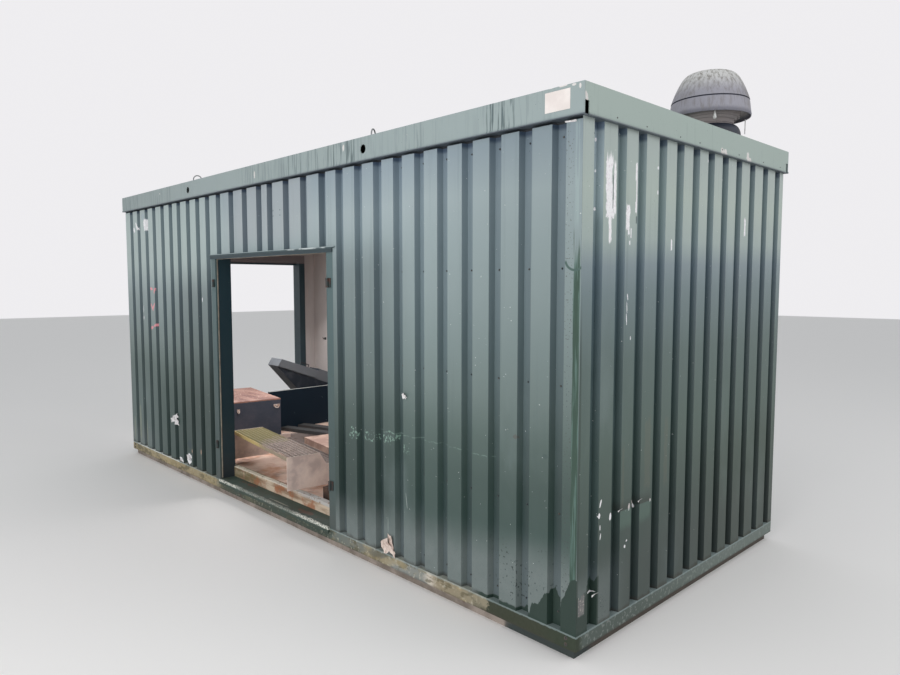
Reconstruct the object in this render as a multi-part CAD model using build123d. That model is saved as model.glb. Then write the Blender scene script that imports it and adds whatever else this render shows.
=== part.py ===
"""Walk-in chemical storage container: a steel room on a base frame, clad in trapezoidal sheet.

Millimetres, +Z up. X runs along the long side, the front with its doorway faces -Y and the
second doorway is in the left end, at -X. The origin is on the ground, under the middle.
"""
import os
from math import cos, hypot, pi, sin

from build123d import *

# Whole container
length = 6055.0                # over the fascia
width = 2490.0                 # over the fascia
roof_height = 2820.0           # ground to the top of the fascia
fascia_height = 151.0
fascia_overhang = 25.0         # fascia face to the crests of the cladding
wall_thickness = 135.0         # crest of the cladding to the inner lining

# Base frame
skid_height = 55.0
skid_inset = 32.0              # set back from the rails above
skid_width = 70.0
rail_height = 80.0
bearer_width = 80.0
bearer_count = 5
bearer_reach = 2140.0          # middle of the base to its last cross bearer
joint_gap = 0.4                # butt joint between like pieces

# Sump and floor
kerb_height = 98.0             # above the base rails
kerb_width = 50.0
sump_plate = 6.0
deck_below_kerb = 35.0
deck_thickness = 30.0
deck_gap = 3.0

# Cladding sheet
sheet_depth = 40.0
sheet_thickness = 2.0
valley_opening = 86.0
flank_run = 11.0
long_pitch = 204.5
end_pitch = 200.0
over_door_pitch = 238.0
least_crest = 60.0             # beside the first and last valley of an even sheet
# Starts of the valleys, from the left end of each sheet, with its lap joints
left_valleys = (127.5, 332.5, 547.5, 750.5, 963.5, 1165.5, 1353.5, 1564.5, 1769.5, 1972.5)
over_door_valleys = (120.5, 357.5, 591.5, 828.5, 996.5, 1236.5, 1477.5, 1716.5)
right_valleys = (44.5, 256.5, 459.5, 659.5, 857.5, 1057.5, 1257.5, 1464.5, 1670.5, 1880.5)
end_valleys = (92.0, 296.0, 490.0, 702.0, 896.0, 1087.0, 1277.0, 1468.0, 1666.0, 1871.0, 2084.0, 2290.0)
top_gap = 13.0                 # long walls stop this far below the fascia

# Doorways
front_door_left = 2169.0       # left end of the fascia to the clear opening
door_clear_width = 1721.0      # of the front doorway
end_return = 145.5             # inner face of a long wall to the frame of the end doorway
front_head_height = 2104.0     # ground to the underside of the head trim
end_head_height = 2133.0
jamb_width = 79.0
jamb_projection = 10.0         # frame past the inner lining
head_trim_height = 39.0
head_trim_proud = 8.0
head_trim_lap = 20.0           # trim under the head beam
head_beam_height = 80.0
threshold_plate = 8.0
threshold_proud = 15.0
threshold_nose = 38.0

# Hinge knuckles left on the jambs
knuckle_radius = 11.0
knuckle_height = 66.0
knuckle_plate = 30.0
knuckle_plate_thickness = 6.0
knuckle_low = 420.0
knuckle_drop = 244.0           # underside of the head to the foot of the upper knuckle

# Roof
channel_web = 5.0
channel_top_flange = 90.0
hem_height = 12.0              # folded lower edge of the fascia, proud of its face
hem_proud = 2.5
ceiling_thickness = 40.0
joist_width = 60.0
joist_count = 6
roof_rib_depth = 25.0
roof_rib_opening = 60.0
roof_rib_pitch = 250.0
roof_below_flange = 3.0
roof_sheet_gap = 1.0           # at both ends
lifting_hole_radius = 28.5
lifting_hole_offset = 1328.0   # from the middle of the long side
lifting_hole_drop = 76.0       # below the roof edge
fascia_notch = (34.0, 66.0)    # open lower corner of an end fascia, across and up
eye_radius = 37.0
eye_bar_radius = 5.0
eye_leg = 26.0
eye_inset = 95.0               # fascia face to the middle of an eye
eye_offset = 1320.0            # from the middle of the long side
eye_plate = (76.0, 124.0, 5.0)
eye_turns = (80.0, 122.0, 90.0, 90.0)   # front left, front right, back left, back right

# Roof fan
fan_from_end = 430.0           # right end of the fascia to the axis
fan_from_side = 350.0          # back face of the fascia to the axis
fan_curb_size = 480.0
fan_curb_height = 30.0
fan_neck_radius = 182.0
fan_foot_radius = 213.0
fan_bell_height = 58.0         # over which the neck swells to its foot
fan_bell_steps = 2
cowl_height = 3172.0           # ground to the groove round the cowl
cowl_radius = 279.0            # at the rim
cowl_groove_radius = 266.0
cowl_skirt = 109.0             # groove to rim
cowl_recess = 75.0             # groove to the recess under the cowl
cowl_throat = ((197.0, 117.0), (166.0, 172.0))   # radius and groove to step, twice
cowl_rim = 9.0
cowl_groove = 4.5
cowl_dome = 212.0              # groove to the top
cowl_curve = ((0.95, 0.20), (0.875, 0.43), (0.80, 0.62), (0.71, 0.80), (0.585, 0.93), (0.36, 0.985))

# Step unit left in the front doorway
step_width = 1275.0
step_tread_depth = 285.0
step_height = 272.0
step_rise = 135.0
step_side = 5.0
step_side_rise = 40.0          # sides above the low tread
step_slope = 60.0
step_tread_thickness = 28.0
step_turn = -8.0
step_from_jamb = 1018.5        # left edge of the clear opening to the unit's front right corner
step_proud = 60.0              # that corner past the inner face of the wall
rest_gap = 0.3                 # loose things stand this far clear of what they rest on

# Loose things left inside, placed from the back left corner of the room
chest_size = (970.0, 600.0, 440.0)
chest_turn = -9.0
chest_corner = (1122.5, -1175.0)   # back right corner
panel_size = (40.0, 1030.0, 455.0)
panel_corner = (707.5, -1095.0)
case_from_wall = 567.5
case_depth = 240.0
case_recess = 30.0
case_lid = ((-876.0, 722.0), (-356.0, 531.0), (-296.0, 613.0), (-824.0, 802.0))   # Y and Z
case_shoulder = ((-292.0, 640.0), (-125.0, 577.0))
case_foot = (-445.0, -125.0)
case_waist = 247.0
plank_size = (1000.0, 110.0, 38.0)
plank_corners = ((792.5, -761.0), (792.5, -985.0))
plank_turn = 18.0
slab_size = (620.0, 380.0, 72.0)
slab_corner = (1567.5, -1157.0)

# Worked out from the sizes above
crest_x = length / 2 - fascia_overhang
crest_y = width / 2 - fascia_overhang
room_x = crest_x - wall_thickness
room_y = crest_y - wall_thickness
rail_top = skid_height + rail_height
fascia_bottom = roof_height - fascia_height
kerb_top = rail_top + kerb_height
deck_top = kerb_top - deck_below_kerb
lining_thickness = wall_thickness - sheet_depth
wall_top = fascia_bottom - top_gap
web_inset = hem_proud + channel_web
front_door_x0 = front_door_left - length / 2
front_door_x1 = front_door_x0 + door_clear_width
end_clear_width = 2 * (room_y - end_return - jamb_width)
end_frame_half = end_clear_width / 2 + jamb_width

parts = {}


def block(x0, x1, y0, y1, z0, z1):
    """A plain slab between two corners."""
    return Pos(x0, y0, z0) * Box(x1 - x0, y1 - y0, z1 - z0, align=(Align.MIN, Align.MIN, Align.MIN))


def solids(*pieces):
    """Several separate solids as one sub-part."""
    return Compound(children=[s for piece in pieces for s in piece.solids()])


def ring(x, y, bar, z0, z1):
    """Four bars round a rectangle of half sizes x and y: two long ones and two between them."""
    long_bars = [block(-x, x, edge, edge + bar, z0, z1) for edge in (-y, y - bar)]
    reach = y - bar - joint_gap
    end_bars = [block(edge, edge + bar, -reach, reach, z0, z1) for edge in (-x, x - bar)]
    return solids(*long_bars, *end_bars)


def spread(count, low, high):
    """Evenly spaced places from low to high."""
    return [low + (high - low) * i / (count - 1) for i in range(count)]


def make_base():
    skid_x, skid_y = crest_x - skid_inset, crest_y - skid_inset
    parts["skid_beams"] = ring(skid_x, skid_y, skid_width, 0, skid_height)
    parts["base_rails"] = ring(crest_x, crest_y, wall_thickness, skid_height, rail_top)
    reach = skid_y - skid_width - joint_gap
    places = spread(bearer_count, -bearer_reach, bearer_reach)
    parts["cross_bearers"] = solids(*[
        block(x - bearer_width / 2, x + bearer_width / 2, -reach, reach, 0, skid_height) for x in places])


def make_floor():
    x, y = room_x - joint_gap, room_y - joint_gap
    parts["sump_floor"] = block(-x, x, -y, y, skid_height, skid_height + sump_plate)
    parts["sump_kerbs"] = ring(x, y, kerb_width, skid_height + sump_plate, kerb_top)
    inner_x, inner_y = x - kerb_width - deck_gap, y - kerb_width - deck_gap
    deck_bottom = deck_top - deck_thickness
    places = spread(bearer_count, -inner_x + bearer_width, inner_x - bearer_width)
    parts["deck_bearers"] = solids(*[
        block(px - bearer_width / 2, px + bearer_width / 2, -inner_y, inner_y,
              skid_height + sump_plate, deck_bottom) for px in places])
    parts["floor_deck"] = block(-inner_x, inner_x, -inner_y, inner_y, deck_bottom, deck_top)


def sheet_section(span, valleys, opening, depth, thickness, run):
    """Closed outline of a trapezoidal sheet: X along the wall, Y from the crests inwards."""
    floor = depth - thickness
    shift = thickness * (hypot(run, floor) - run) / floor
    outer, inner = [(0, 0)], [(0, thickness)]
    for start in valleys:
        end = start + opening
        outer += [(start, 0), (start + run, floor), (end - run, floor), (end, 0)]
        inner += [(start - shift, thickness), (start + run - shift, depth),
                  (end - run + shift, depth), (end + shift, thickness)]
    outer.append((span, 0))
    inner.append((span, thickness))
    return make_face(Polyline(*outer, *reversed(inner), close=True))


def cladding(span, valleys, z0, z1):
    """An upright cladding sheet that starts at the origin and runs along X."""
    section = sheet_section(span, valleys, valley_opening, sheet_depth, sheet_thickness, flank_run)
    return Pos(0, 0, z0) * extrude(section, z1 - z0, dir=(0, 0, 1))


def row(span, starts, pitch):
    """Places of the valleys that a sheet has room for: the given ones, then one more at each pitch."""
    places = [*starts]
    while places[-1] + pitch + valley_opening < span:
        places.append(places[-1] + pitch)
    return [start for start in places if start + valley_opening < span]


def even_row(span, pitch):
    """Places of the valleys that a sheet has room for, the same from both ends."""
    count = int((span - valley_opening - 2 * least_crest) // pitch)
    first = (span - count * pitch - valley_opening) / 2
    return [first + i * pitch for i in range(count + 1)]


def make_front_wall():
    origin = Pos(-crest_x, -crest_y, 0)
    left_end = front_door_x0 - jamb_width + crest_x
    right_start = front_door_x1 + jamb_width + crest_x
    over = Pos(left_end, 0, 0)
    over_span = right_start - left_end
    valleys = row(left_end, left_valleys, long_pitch)
    parts["front_cladding_left"] = origin * cladding(left_end, valleys, rail_top, wall_top)
    right_span = 2 * crest_x - right_start
    valleys = row(right_span, right_valleys, long_pitch)
    parts["front_cladding_right"] = origin * Pos(right_start, 0, 0) * cladding(
        right_span, valleys, rail_top, wall_top)
    trim_top = front_head_height + head_trim_height
    valleys = row(over_span, over_door_valleys, over_door_pitch)
    parts["front_cladding_over_door"] = origin * over * cladding(over_span, valleys, trim_top, wall_top)

    y0, y1 = -crest_y + sheet_depth, -room_y
    jamb_left, jamb_right = front_door_x0 - jamb_width, front_door_x1 + jamb_width
    parts["front_lining_sides"] = solids(
        block(-room_x, jamb_left, y0, y1, rail_top, fascia_bottom),
        block(jamb_right, room_x, y0, y1, rail_top, fascia_bottom))
    beam_top = trim_top + head_beam_height
    parts["front_lining_over_door"] = block(jamb_left, jamb_right, y0, y1, beam_top, fascia_bottom)


def make_back_wall():
    span = 2 * crest_x
    sheet = cladding(span, even_row(span, long_pitch), rail_top, wall_top)
    parts["back_cladding"] = Pos(crest_x, crest_y, 0) * Rot(0, 0, 180) * sheet
    parts["back_lining"] = block(-room_x, room_x, room_y, crest_y - sheet_depth, rail_top, fascia_bottom)


def make_end_walls():
    reach = crest_y - sheet_thickness - joint_gap
    span = 2 * reach
    right = Pos(crest_x, -reach, 0) * Rot(0, 0, 90)
    sheet = cladding(span, row(span, end_valleys, end_pitch), rail_top, fascia_bottom)
    parts["right_end_cladding"] = right * sheet
    x0, x1 = room_x, crest_x - sheet_depth
    parts["right_end_lining"] = block(x0, x1, -room_y, room_y, rail_top, fascia_bottom)

    left = Pos(-crest_x, reach, 0) * Rot(0, 0, -90)
    side_span = reach - end_frame_half
    side = cladding(side_span, even_row(side_span, end_pitch), rail_top, fascia_bottom)
    parts["left_end_cladding_sides"] = solids(left * side, left * Pos(span - side_span, 0, 0) * side)
    over_span = span - 2 * side_span
    trim_top = end_head_height + head_trim_height
    parts["left_end_cladding_over_door"] = left * Pos(side_span, 0, 0) * cladding(
        over_span, even_row(over_span, over_door_pitch), trim_top, fascia_bottom)
    parts["left_end_lining_sides"] = solids(*[
        block(-x1, -x0, y, y + end_return, rail_top, fascia_bottom) for y in (-room_y, end_frame_half)])
    beam_top = trim_top + head_beam_height
    parts["left_end_lining_over_door"] = block(
        -x1, -x0, -end_frame_half, end_frame_half, beam_top, fascia_bottom)


def make_posts():
    x0, x1 = room_x, crest_x - sheet_depth
    y0, y1 = room_y, crest_y - sheet_depth
    corner = block(x0, x1, y0, y1, rail_top, fascia_bottom)
    parts["corner_posts"] = solids(corner, mirror(corner, Plane.YZ), mirror(corner, Plane.XZ),
                                   mirror(mirror(corner, Plane.YZ), Plane.XZ))


def door_frame(clear, head_height):
    """Jambs, head and threshold round an opening that starts at the origin and runs along X."""
    depth = wall_thickness + jamb_projection
    trim_top = head_height + head_trim_height
    beam_top = trim_top + head_beam_height
    outer = clear + jamb_width
    jambs = solids(block(-jamb_width, 0, 0, depth, rail_top, head_height),
                   block(clear, outer, 0, depth, rail_top, head_height))
    trim = block(-jamb_width, outer, -head_trim_proud, sheet_depth + head_trim_lap, head_height, trim_top)
    beam = block(-jamb_width, outer, sheet_depth, depth, head_height, beam_top)
    opening = block(0, clear, sheet_depth + head_trim_lap, depth, head_height, trim_top)
    head = trim + beam - opening
    plate = block(joint_gap, clear - joint_gap, -threshold_proud, wall_thickness, rail_top,
                  rail_top + threshold_plate)
    nose = block(joint_gap, clear - joint_gap, -threshold_proud, -joint_gap,
                 rail_top + threshold_plate - threshold_nose, rail_top + threshold_plate)
    return jambs, head, plate + nose


def knuckles(clear, head_height):
    """Hinge knuckles, a pair on the face of each jamb."""
    made = []
    for x, side in ((-jamb_width / 2, 1), (clear + jamb_width / 2, -1)):
        for z in (knuckle_low, head_height - knuckle_drop):
            leaf = block(x - knuckle_plate / 2, x + knuckle_plate / 2, -knuckle_plate_thickness, 0, z,
                         z + knuckle_height)
            barrel = Pos(x + side * knuckle_plate / 2, -knuckle_radius, z) * Cylinder(
                knuckle_radius, knuckle_height, align=(Align.CENTER, Align.CENTER, Align.MIN))
            made.append(leaf + barrel)
    return made


def make_doorways():
    front = Pos(front_door_x0, -crest_y, 0)
    jambs, head, threshold = door_frame(door_clear_width, front_head_height)
    parts["front_door_jambs"] = front * jambs
    parts["front_door_head"] = front * head
    parts["front_threshold"] = front * threshold
    end = Pos(-crest_x, end_clear_width / 2, 0) * Rot(0, 0, -90)
    jambs, head, threshold = door_frame(end_clear_width, end_head_height)
    parts["end_door_jambs"] = end * jambs
    parts["end_door_head"] = end * head
    parts["end_threshold"] = end * threshold
    parts["hinge_knuckles"] = solids(*[front * k for k in knuckles(door_clear_width, front_head_height)],
                                     *[end * k for k in knuckles(end_clear_width, end_head_height)])


def fascia_channel(span, flange, low_cut, top_cut, web_cut):
    """A channel on its side: hem at Y 0, web behind it, and flanges that stop short of its ends."""
    web = block(web_cut, span - web_cut, hem_proud, web_inset, fascia_bottom, roof_height)
    hem = block(0, span, 0, hem_proud, fascia_bottom, fascia_bottom + hem_height)
    low = block(low_cut, span - low_cut, hem_proud, flange, fascia_bottom, fascia_bottom + channel_web)
    top = block(top_cut, span - top_cut, hem_proud, channel_top_flange, roof_height - channel_web,
                roof_height)
    return web + hem + low + top


def make_fascias():
    flange = fascia_overhang + wall_thickness
    hole_z = roof_height - lifting_hole_drop
    cut = web_inset + joint_gap
    long_side = fascia_channel(length, flange, cut, cut, hem_proud)
    hole = Rot(90, 0, 0) * Cylinder(lifting_hole_radius, 4 * web_inset)
    for x in (-lifting_hole_offset, lifting_hole_offset):
        long_side -= Pos(length / 2 + x, 0, hole_z) * hole
    parts["fascia_front"] = Pos(-length / 2, -width / 2, 0) * long_side
    parts["fascia_back"] = Pos(length / 2, width / 2, 0) * Rot(0, 0, 180) * long_side
    span = width - 2 * cut
    end_side = fascia_channel(span, flange, flange - web_inset, channel_top_flange - web_inset, 0)
    across, up = fascia_notch
    for x in (0, span - across):
        end_side -= block(x, x + across, 0, web_inset, fascia_bottom, fascia_bottom + up)
    parts["fascia_right"] = Pos(length / 2, -span / 2, 0) * Rot(0, 0, 90) * end_side
    parts["fascia_left"] = Pos(-length / 2, span / 2, 0) * Rot(0, 0, -90) * end_side


def make_roof():
    ceiling_top = fascia_bottom + channel_web
    gap = joint_gap
    parts["ceiling_panel"] = block(-room_x + gap, room_x - gap, -room_y + gap, room_y - gap,
                                   ceiling_top - ceiling_thickness, ceiling_top)
    joist_reach = width / 2 - web_inset - gap
    deck_under = roof_height - channel_web - roof_below_flange - roof_rib_depth
    places = spread(joist_count, -room_x + joist_width, room_x - joist_width)
    parts["roof_joists"] = solids(*[
        block(x - joist_width / 2, x + joist_width / 2, -joist_reach, joist_reach, ceiling_top, deck_under)
        for x in places])
    span = length - 2 * (web_inset + roof_sheet_gap)
    count = int((span - roof_rib_pitch) // roof_rib_pitch)
    first = (span - (count - 1) * roof_rib_pitch - roof_rib_opening) / 2
    ribs = [first + i * roof_rib_pitch for i in range(count)]
    section = sheet_section(span, ribs, roof_rib_opening, roof_rib_depth, sheet_thickness, flank_run)
    sheet = extrude(section, 2 * joist_reach, dir=(0, 0, 1))
    flat = Rot(-90, 0, 0) * sheet
    parts["roof_sheet"] = Pos(-span / 2, -joist_reach, deck_under + roof_rib_depth) * flat


def lifting_eye():
    """A bent bar on a small plate: two legs and a half round."""
    across, along, plate = eye_plate
    path = Polyline((-eye_radius, 0, 0), (-eye_radius, 0, eye_leg)) + ThreePointArc(
        (-eye_radius, 0, eye_leg), (0, 0, eye_leg + eye_radius), (eye_radius, 0, eye_leg)) + Polyline(
        (eye_radius, 0, eye_leg), (eye_radius, 0, 0))
    section = Plane(origin=(-eye_radius, 0, 0), z_dir=(0, 0, 1)) * RegularPolygon(eye_bar_radius, 6)
    return sweep(section, path=path), block(-across / 2, across / 2, -along / 2, along / 2, 0, plate)


def make_eyes():
    y = width / 2 - eye_inset
    bar, plate = lifting_eye()
    places = [(sx * eye_offset, sy * y) for sy in (-1, 1) for sx in (-1, 1)]
    parts["lifting_eyes"] = solids(*[
        Pos(*place, roof_height) * (plate + Rot(0, 0, turn) * bar) for place, turn in zip(places, eye_turns)])


def make_fan():
    fan_x, fan_y = length / 2 - fan_from_end, width / 2 - fan_from_side
    base_z = roof_height - channel_web - roof_below_flange
    half = fan_curb_size / 2
    curb_top = base_z + fan_curb_height
    parts["fan_curb"] = block(fan_x - half, fan_x + half, fan_y - half, fan_y + half, base_z, curb_top)
    throat_drop = cowl_throat[-1][1]
    neck_top = cowl_height - throat_drop
    outline = [(0, curb_top), (0, neck_top)]
    for i in range(fan_bell_steps + 1):
        turn = pi / 2 * i / fan_bell_steps
        outline.append((fan_neck_radius + (fan_foot_radius - fan_neck_radius) * sin(turn),
                        neck_top - fan_bell_height * (1 - cos(turn))))
    neck = make_face(Plane.XZ * Polyline(*outline, (fan_foot_radius, curb_top), close=True))
    parts["fan_neck"] = Pos(fan_x, fan_y, 0) * revolve(neck, Axis.Z)

    steps, level = [], cowl_recess
    for radius, drop in cowl_throat:
        steps = [(radius, -drop), (radius, -level), *steps]
        level = drop
    inner = cowl_radius - 2 * cowl_rim
    skirt = [(inner, -cowl_recess), (cowl_radius - cowl_rim, -cowl_skirt), (cowl_radius, -cowl_skirt)]
    groove = [(cowl_groove_radius, -cowl_groove), (cowl_groove_radius - cowl_groove, 0),
              (cowl_groove_radius, cowl_groove)]
    dome = [(cowl_groove_radius * across, cowl_dome * up) for across, up in cowl_curve]
    outline = [(0, -throat_drop), *steps, *skirt, *groove, *dome, (0, cowl_dome)]
    cowl = make_face(Plane.XZ * Polyline(*outline, close=True))
    parts["fan_cowl"] = Pos(fan_x, fan_y, cowl_height) * revolve(cowl, Axis.Z)


def make_step_unit():
    """A two-tread step unit: plate sides with a sloping back edge and slotted treads."""
    run = step_tread_depth
    low_edge = step_rise + step_side_rise
    edges = [(0, 0), (0, step_height), (run, step_height), (run + step_slope, low_edge),
             (2 * run, low_edge), (2 * run, 0)]
    plate = extrude(make_face(Plane.YZ * Polyline(*edges, close=True)), step_side, dir=(-1, 0, 0))
    corner = Pos(front_door_x0 + step_from_jamb, -room_y - step_proud, kerb_top + rest_gap)
    place = corner * Rot(0, 0, step_turn)
    parts["step_sides"] = solids(place * plate, place * Pos(-step_width + step_side, 0, 0) * plate)
    inner = step_width - 2 * (step_side + joint_gap)
    tread = block(0, inner, 0, run - joint_gap, -step_tread_thickness, 0)
    left = -step_side - joint_gap - inner
    parts["step_treads"] = solids(place * Pos(left, 0, step_height) * tread,
                                  place * Pos(left, run, step_rise) * tread)


def make_loose_things():
    corner = Pos(-room_x, room_y, deck_top)
    raised = corner * Pos(0, 0, rest_gap)
    chest_x, chest_y, chest_z = chest_size
    parts["steel_chest"] = raised * Pos(*chest_corner, 0) * Rot(0, 0, chest_turn) * block(
        -chest_x, 0, -chest_y, 0, 0, chest_z)
    panel_x, panel_y, panel_z = panel_size
    parts["loose_panel"] = corner * Pos(*panel_corner, 0) * block(0, panel_x, 0, panel_y, 0, panel_z)

    front, back = case_foot
    body = [*case_lid[:3], *case_shoulder, (back, rest_gap), (front, rest_gap), (front, case_waist)]
    lid = extrude(make_face(Plane.YZ * Polyline(*case_lid, close=True)), case_depth, dir=(-1, 0, 0))
    body_face = make_face(Plane.YZ * Polyline(*body, close=True))
    shell = extrude(body_face, case_depth - case_recess, dir=(-1, 0, 0))
    parts["leaning_case"] = corner * Pos(case_from_wall, 0, 0) * (lid + Pos(-case_recess, 0, 0) * shell)

    plank_x, plank_y, plank_z = plank_size
    plank = block(0, plank_x, 0, plank_y, 0, plank_z)
    slab_x, slab_y, slab_z = slab_size
    slab = block(0, slab_x, 0, slab_y, 0, slab_z)
    parts["loose_boards"] = solids(
        raised * Pos(*slab_corner, 0) * Rot(0, 0, step_turn) * slab,
        *[raised * Pos(*place, 0) * Rot(0, 0, plank_turn) * plank for place in plank_corners])


make_base()
make_floor()
make_front_wall()
make_back_wall()
make_end_walls()
make_posts()
make_doorways()
make_fascias()
make_roof()
make_eyes()
make_fan()
make_step_unit()
make_loose_things()

os.makedirs("parts", exist_ok=True)
for name, shape in parts.items():
    export_step(shape, f"parts/{name}.step")
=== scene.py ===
"""Looks of a walk-in chemical storage container, laid out as an add-on and run as a script."""

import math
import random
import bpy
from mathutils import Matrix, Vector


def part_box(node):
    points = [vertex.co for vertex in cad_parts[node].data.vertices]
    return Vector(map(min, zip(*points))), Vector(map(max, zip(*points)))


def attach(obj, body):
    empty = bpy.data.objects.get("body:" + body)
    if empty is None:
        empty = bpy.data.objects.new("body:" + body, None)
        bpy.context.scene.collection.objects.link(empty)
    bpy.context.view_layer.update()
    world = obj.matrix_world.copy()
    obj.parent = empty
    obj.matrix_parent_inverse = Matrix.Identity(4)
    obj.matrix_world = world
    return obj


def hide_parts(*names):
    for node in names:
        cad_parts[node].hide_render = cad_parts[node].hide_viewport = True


bl_info = {
    "name": "Chemical Storage Container",
    "version": (1, 0, 0),
    "blender": (4, 5, 0),
    "location": "View3D > Sidebar > Container",
    "description": "Finishes and fittings of a walk-in chemical storage container",
    "category": "Object",
}

import bmesh
import bpy
from bpy.props import FloatProperty, FloatVectorProperty, IntProperty, PointerProperty
from mathutils import Matrix, Vector, noise

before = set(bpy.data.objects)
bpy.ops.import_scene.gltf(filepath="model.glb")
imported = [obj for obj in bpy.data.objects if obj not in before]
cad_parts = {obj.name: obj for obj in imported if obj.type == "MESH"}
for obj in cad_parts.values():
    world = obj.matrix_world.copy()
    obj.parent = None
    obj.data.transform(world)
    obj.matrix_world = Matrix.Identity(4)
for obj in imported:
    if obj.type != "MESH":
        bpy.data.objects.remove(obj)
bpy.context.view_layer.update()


def shade(red, green, blue):
    """A display colour, 0 to 255, as the linear values that shaders take."""
    return tuple(((c / 255 + 0.055) / 1.055) ** 2.4 if c > 10 else c / 255 / 12.92
                 for c in (red, green, blue))


def colour(name, description, red, green, blue):
    """A colour that a user may change."""
    return FloatVectorProperty(name=name, description=description, subtype="COLOR", min=0.0, max=1.0,
                               default=shade(red, green, blue))


def length(name, description, default):
    """A length that a user may change, in metres."""
    return FloatProperty(name=name, description=description, default=default, unit="LENGTH")


class ContainerColours(bpy.types.PropertyGroup):
    """Colours of the finishes."""

    # The five sheet colours are stops of a gradient by height that is painted reflection and shade: lighter high up
    # where the glossy paint reflects the sky, darker low down where it reflects the ground.
    sheet_top: colour("Sheet, top", "Faded paint of the cladding under the roof edge", 140, 154, 161)
    sheet_upper: colour("Sheet, upper", "Faded paint of the upper cladding", 146, 160, 161)
    sheet_middle: colour("Sheet, middle", "Paint of the cladding at eye level", 125, 140, 139)
    sheet_lower: colour("Sheet, lower", "Paint of the lower cladding", 86, 103, 98)
    sheet_foot: colour("Sheet, foot", "Paint of the cladding above the base", 60, 79, 74)
    chalk: colour("Chalk", "Chalky bloom over the foot of the cladding", 124, 132, 130)
    streak_green: colour("Corner streak", "Green growth down the front right corner", 46, 70, 58)
    repaint: colour("Repaint", "Dark green paint brushed over damage", 30, 50, 42)
    bare: colour("Bare coat", "Pale coat that shows where paint has gone", 222, 224, 222)
    fascia: colour("Fascia", "Pale paint of the roof edge", 145, 158, 158)
    streak: colour("Streaks", "Dirt that has run down the roof edge", 62, 80, 82)
    frame_green: colour("Frame", "Dark green paint of the door frames", 33, 56, 64)
    jamb_green: colour("Jamb faces", "Paint of the outer faces of the door frames", 76, 97, 98)
    rail: colour("Base rail", "Dark olive paint of the base rails", 55, 59, 44)
    lichen: colour("Lichen", "Pale yellow growth on the base", 178, 160, 118)
    grime: colour("Grime", "Dirt of the base and of corners", 58, 52, 44)
    steel_worn: colour("Worn steel", "Steel scuffed through its paint", 150, 147, 140)
    lining: colour("Lining", "Cream sheet inside the walls", 180, 172, 168)
    rust: colour("Rust", "Fresh orange rust", 156, 84, 44)
    rust_dark: colour("Old rust", "Dark rust", 84, 46, 32)
    rust_pale: colour("Rust dust", "Pale pink dust on rusty steel", 228, 196, 178)
    chest: colour("Chest", "Dark paint of the steel chest", 50, 57, 69)
    cowl: colour("Cowl", "Weathered plastic of the fan cowl", 146, 144, 148)
    cowl_bell: colour("Fan neck", "Dark coat of the neck under the cowl", 26, 31, 44)
    zinc: colour("Zinc", "Dull galvanised steel", 138, 140, 140)
    dusty: colour("Dusty steel", "Galvanised steel under pink dust", 150, 132, 126)
    moss: colour("Moss", "Yellow green moss", 122, 116, 56)
    pink: colour("Marker", "Pink strokes on the wall", 236, 150, 156)
    board: colour("Boards", "Grey weathered wood", 74, 72, 70)
    slab: colour("Slab", "Pink grey face of the slab", 190, 156, 140)
    rubber: colour("Rubber", "Black rubber and plastic", 20, 22, 25)
    seal: colour("Seal", "Dirty cream door seal", 150, 142, 128)
    plate: colour("Plate", "Blank pale plate on the roof edge", 222, 212, 206)
    floor: colour("Floor", "Floor under the container", 242, 238, 234)


class ContainerSizes(bpy.types.PropertyGroup):
    """Sizes of the fittings that the finishes go with."""

    screw_radius: length("Screw head", "Radius of a cladding screw's washer", 0.0062)
    screw_height: length("Screw stand", "Height of a cladding screw's head", 0.005)
    valley_depth: length("Valley depth", "Crest of the cladding to the face of its valleys", 0.038)
    mesh_pitch: length("Mesh pitch", "Spacing of the tread mesh", 0.036)
    mesh_bar: length("Mesh bar", "Width of a bar of the tread mesh", 0.01)
    eye_bar: length("Eye bar", "Radius of a lifting eye's bar", 0.0048)
    plate_width: length("Plate width", "Blank plate on the roof edge", 0.15)
    plate_height: length("Plate height", "Blank plate on the roof edge", 0.096)
    seal_width: length("Seal width", "Rubber seal round the front doorway", 0.011)
    turn_step: IntProperty(name="Round steps", description="Sides of a turned piece", default=64)


class Wire:
    """A shader socket that takes part in Python sums."""

    def __init__(self, finish, socket):
        self.finish = finish
        self.socket = socket

    def sum(self, operation, first, second):
        return self.finish.node("Math", {"operation": operation}, {0: first, 1: second})

    def __add__(self, other):
        return self.sum("ADD", self, other)

    def __radd__(self, other):
        return self.sum("ADD", other, self)

    def __sub__(self, other):
        return self.sum("SUBTRACT", self, other)

    def __rsub__(self, other):
        return self.sum("SUBTRACT", other, self)

    def __mul__(self, other):
        return self.sum("MULTIPLY", self, other)

    def __rmul__(self, other):
        return self.sum("MULTIPLY", other, self)

    def __truediv__(self, other):
        return self.sum("DIVIDE", self, other)


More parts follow.
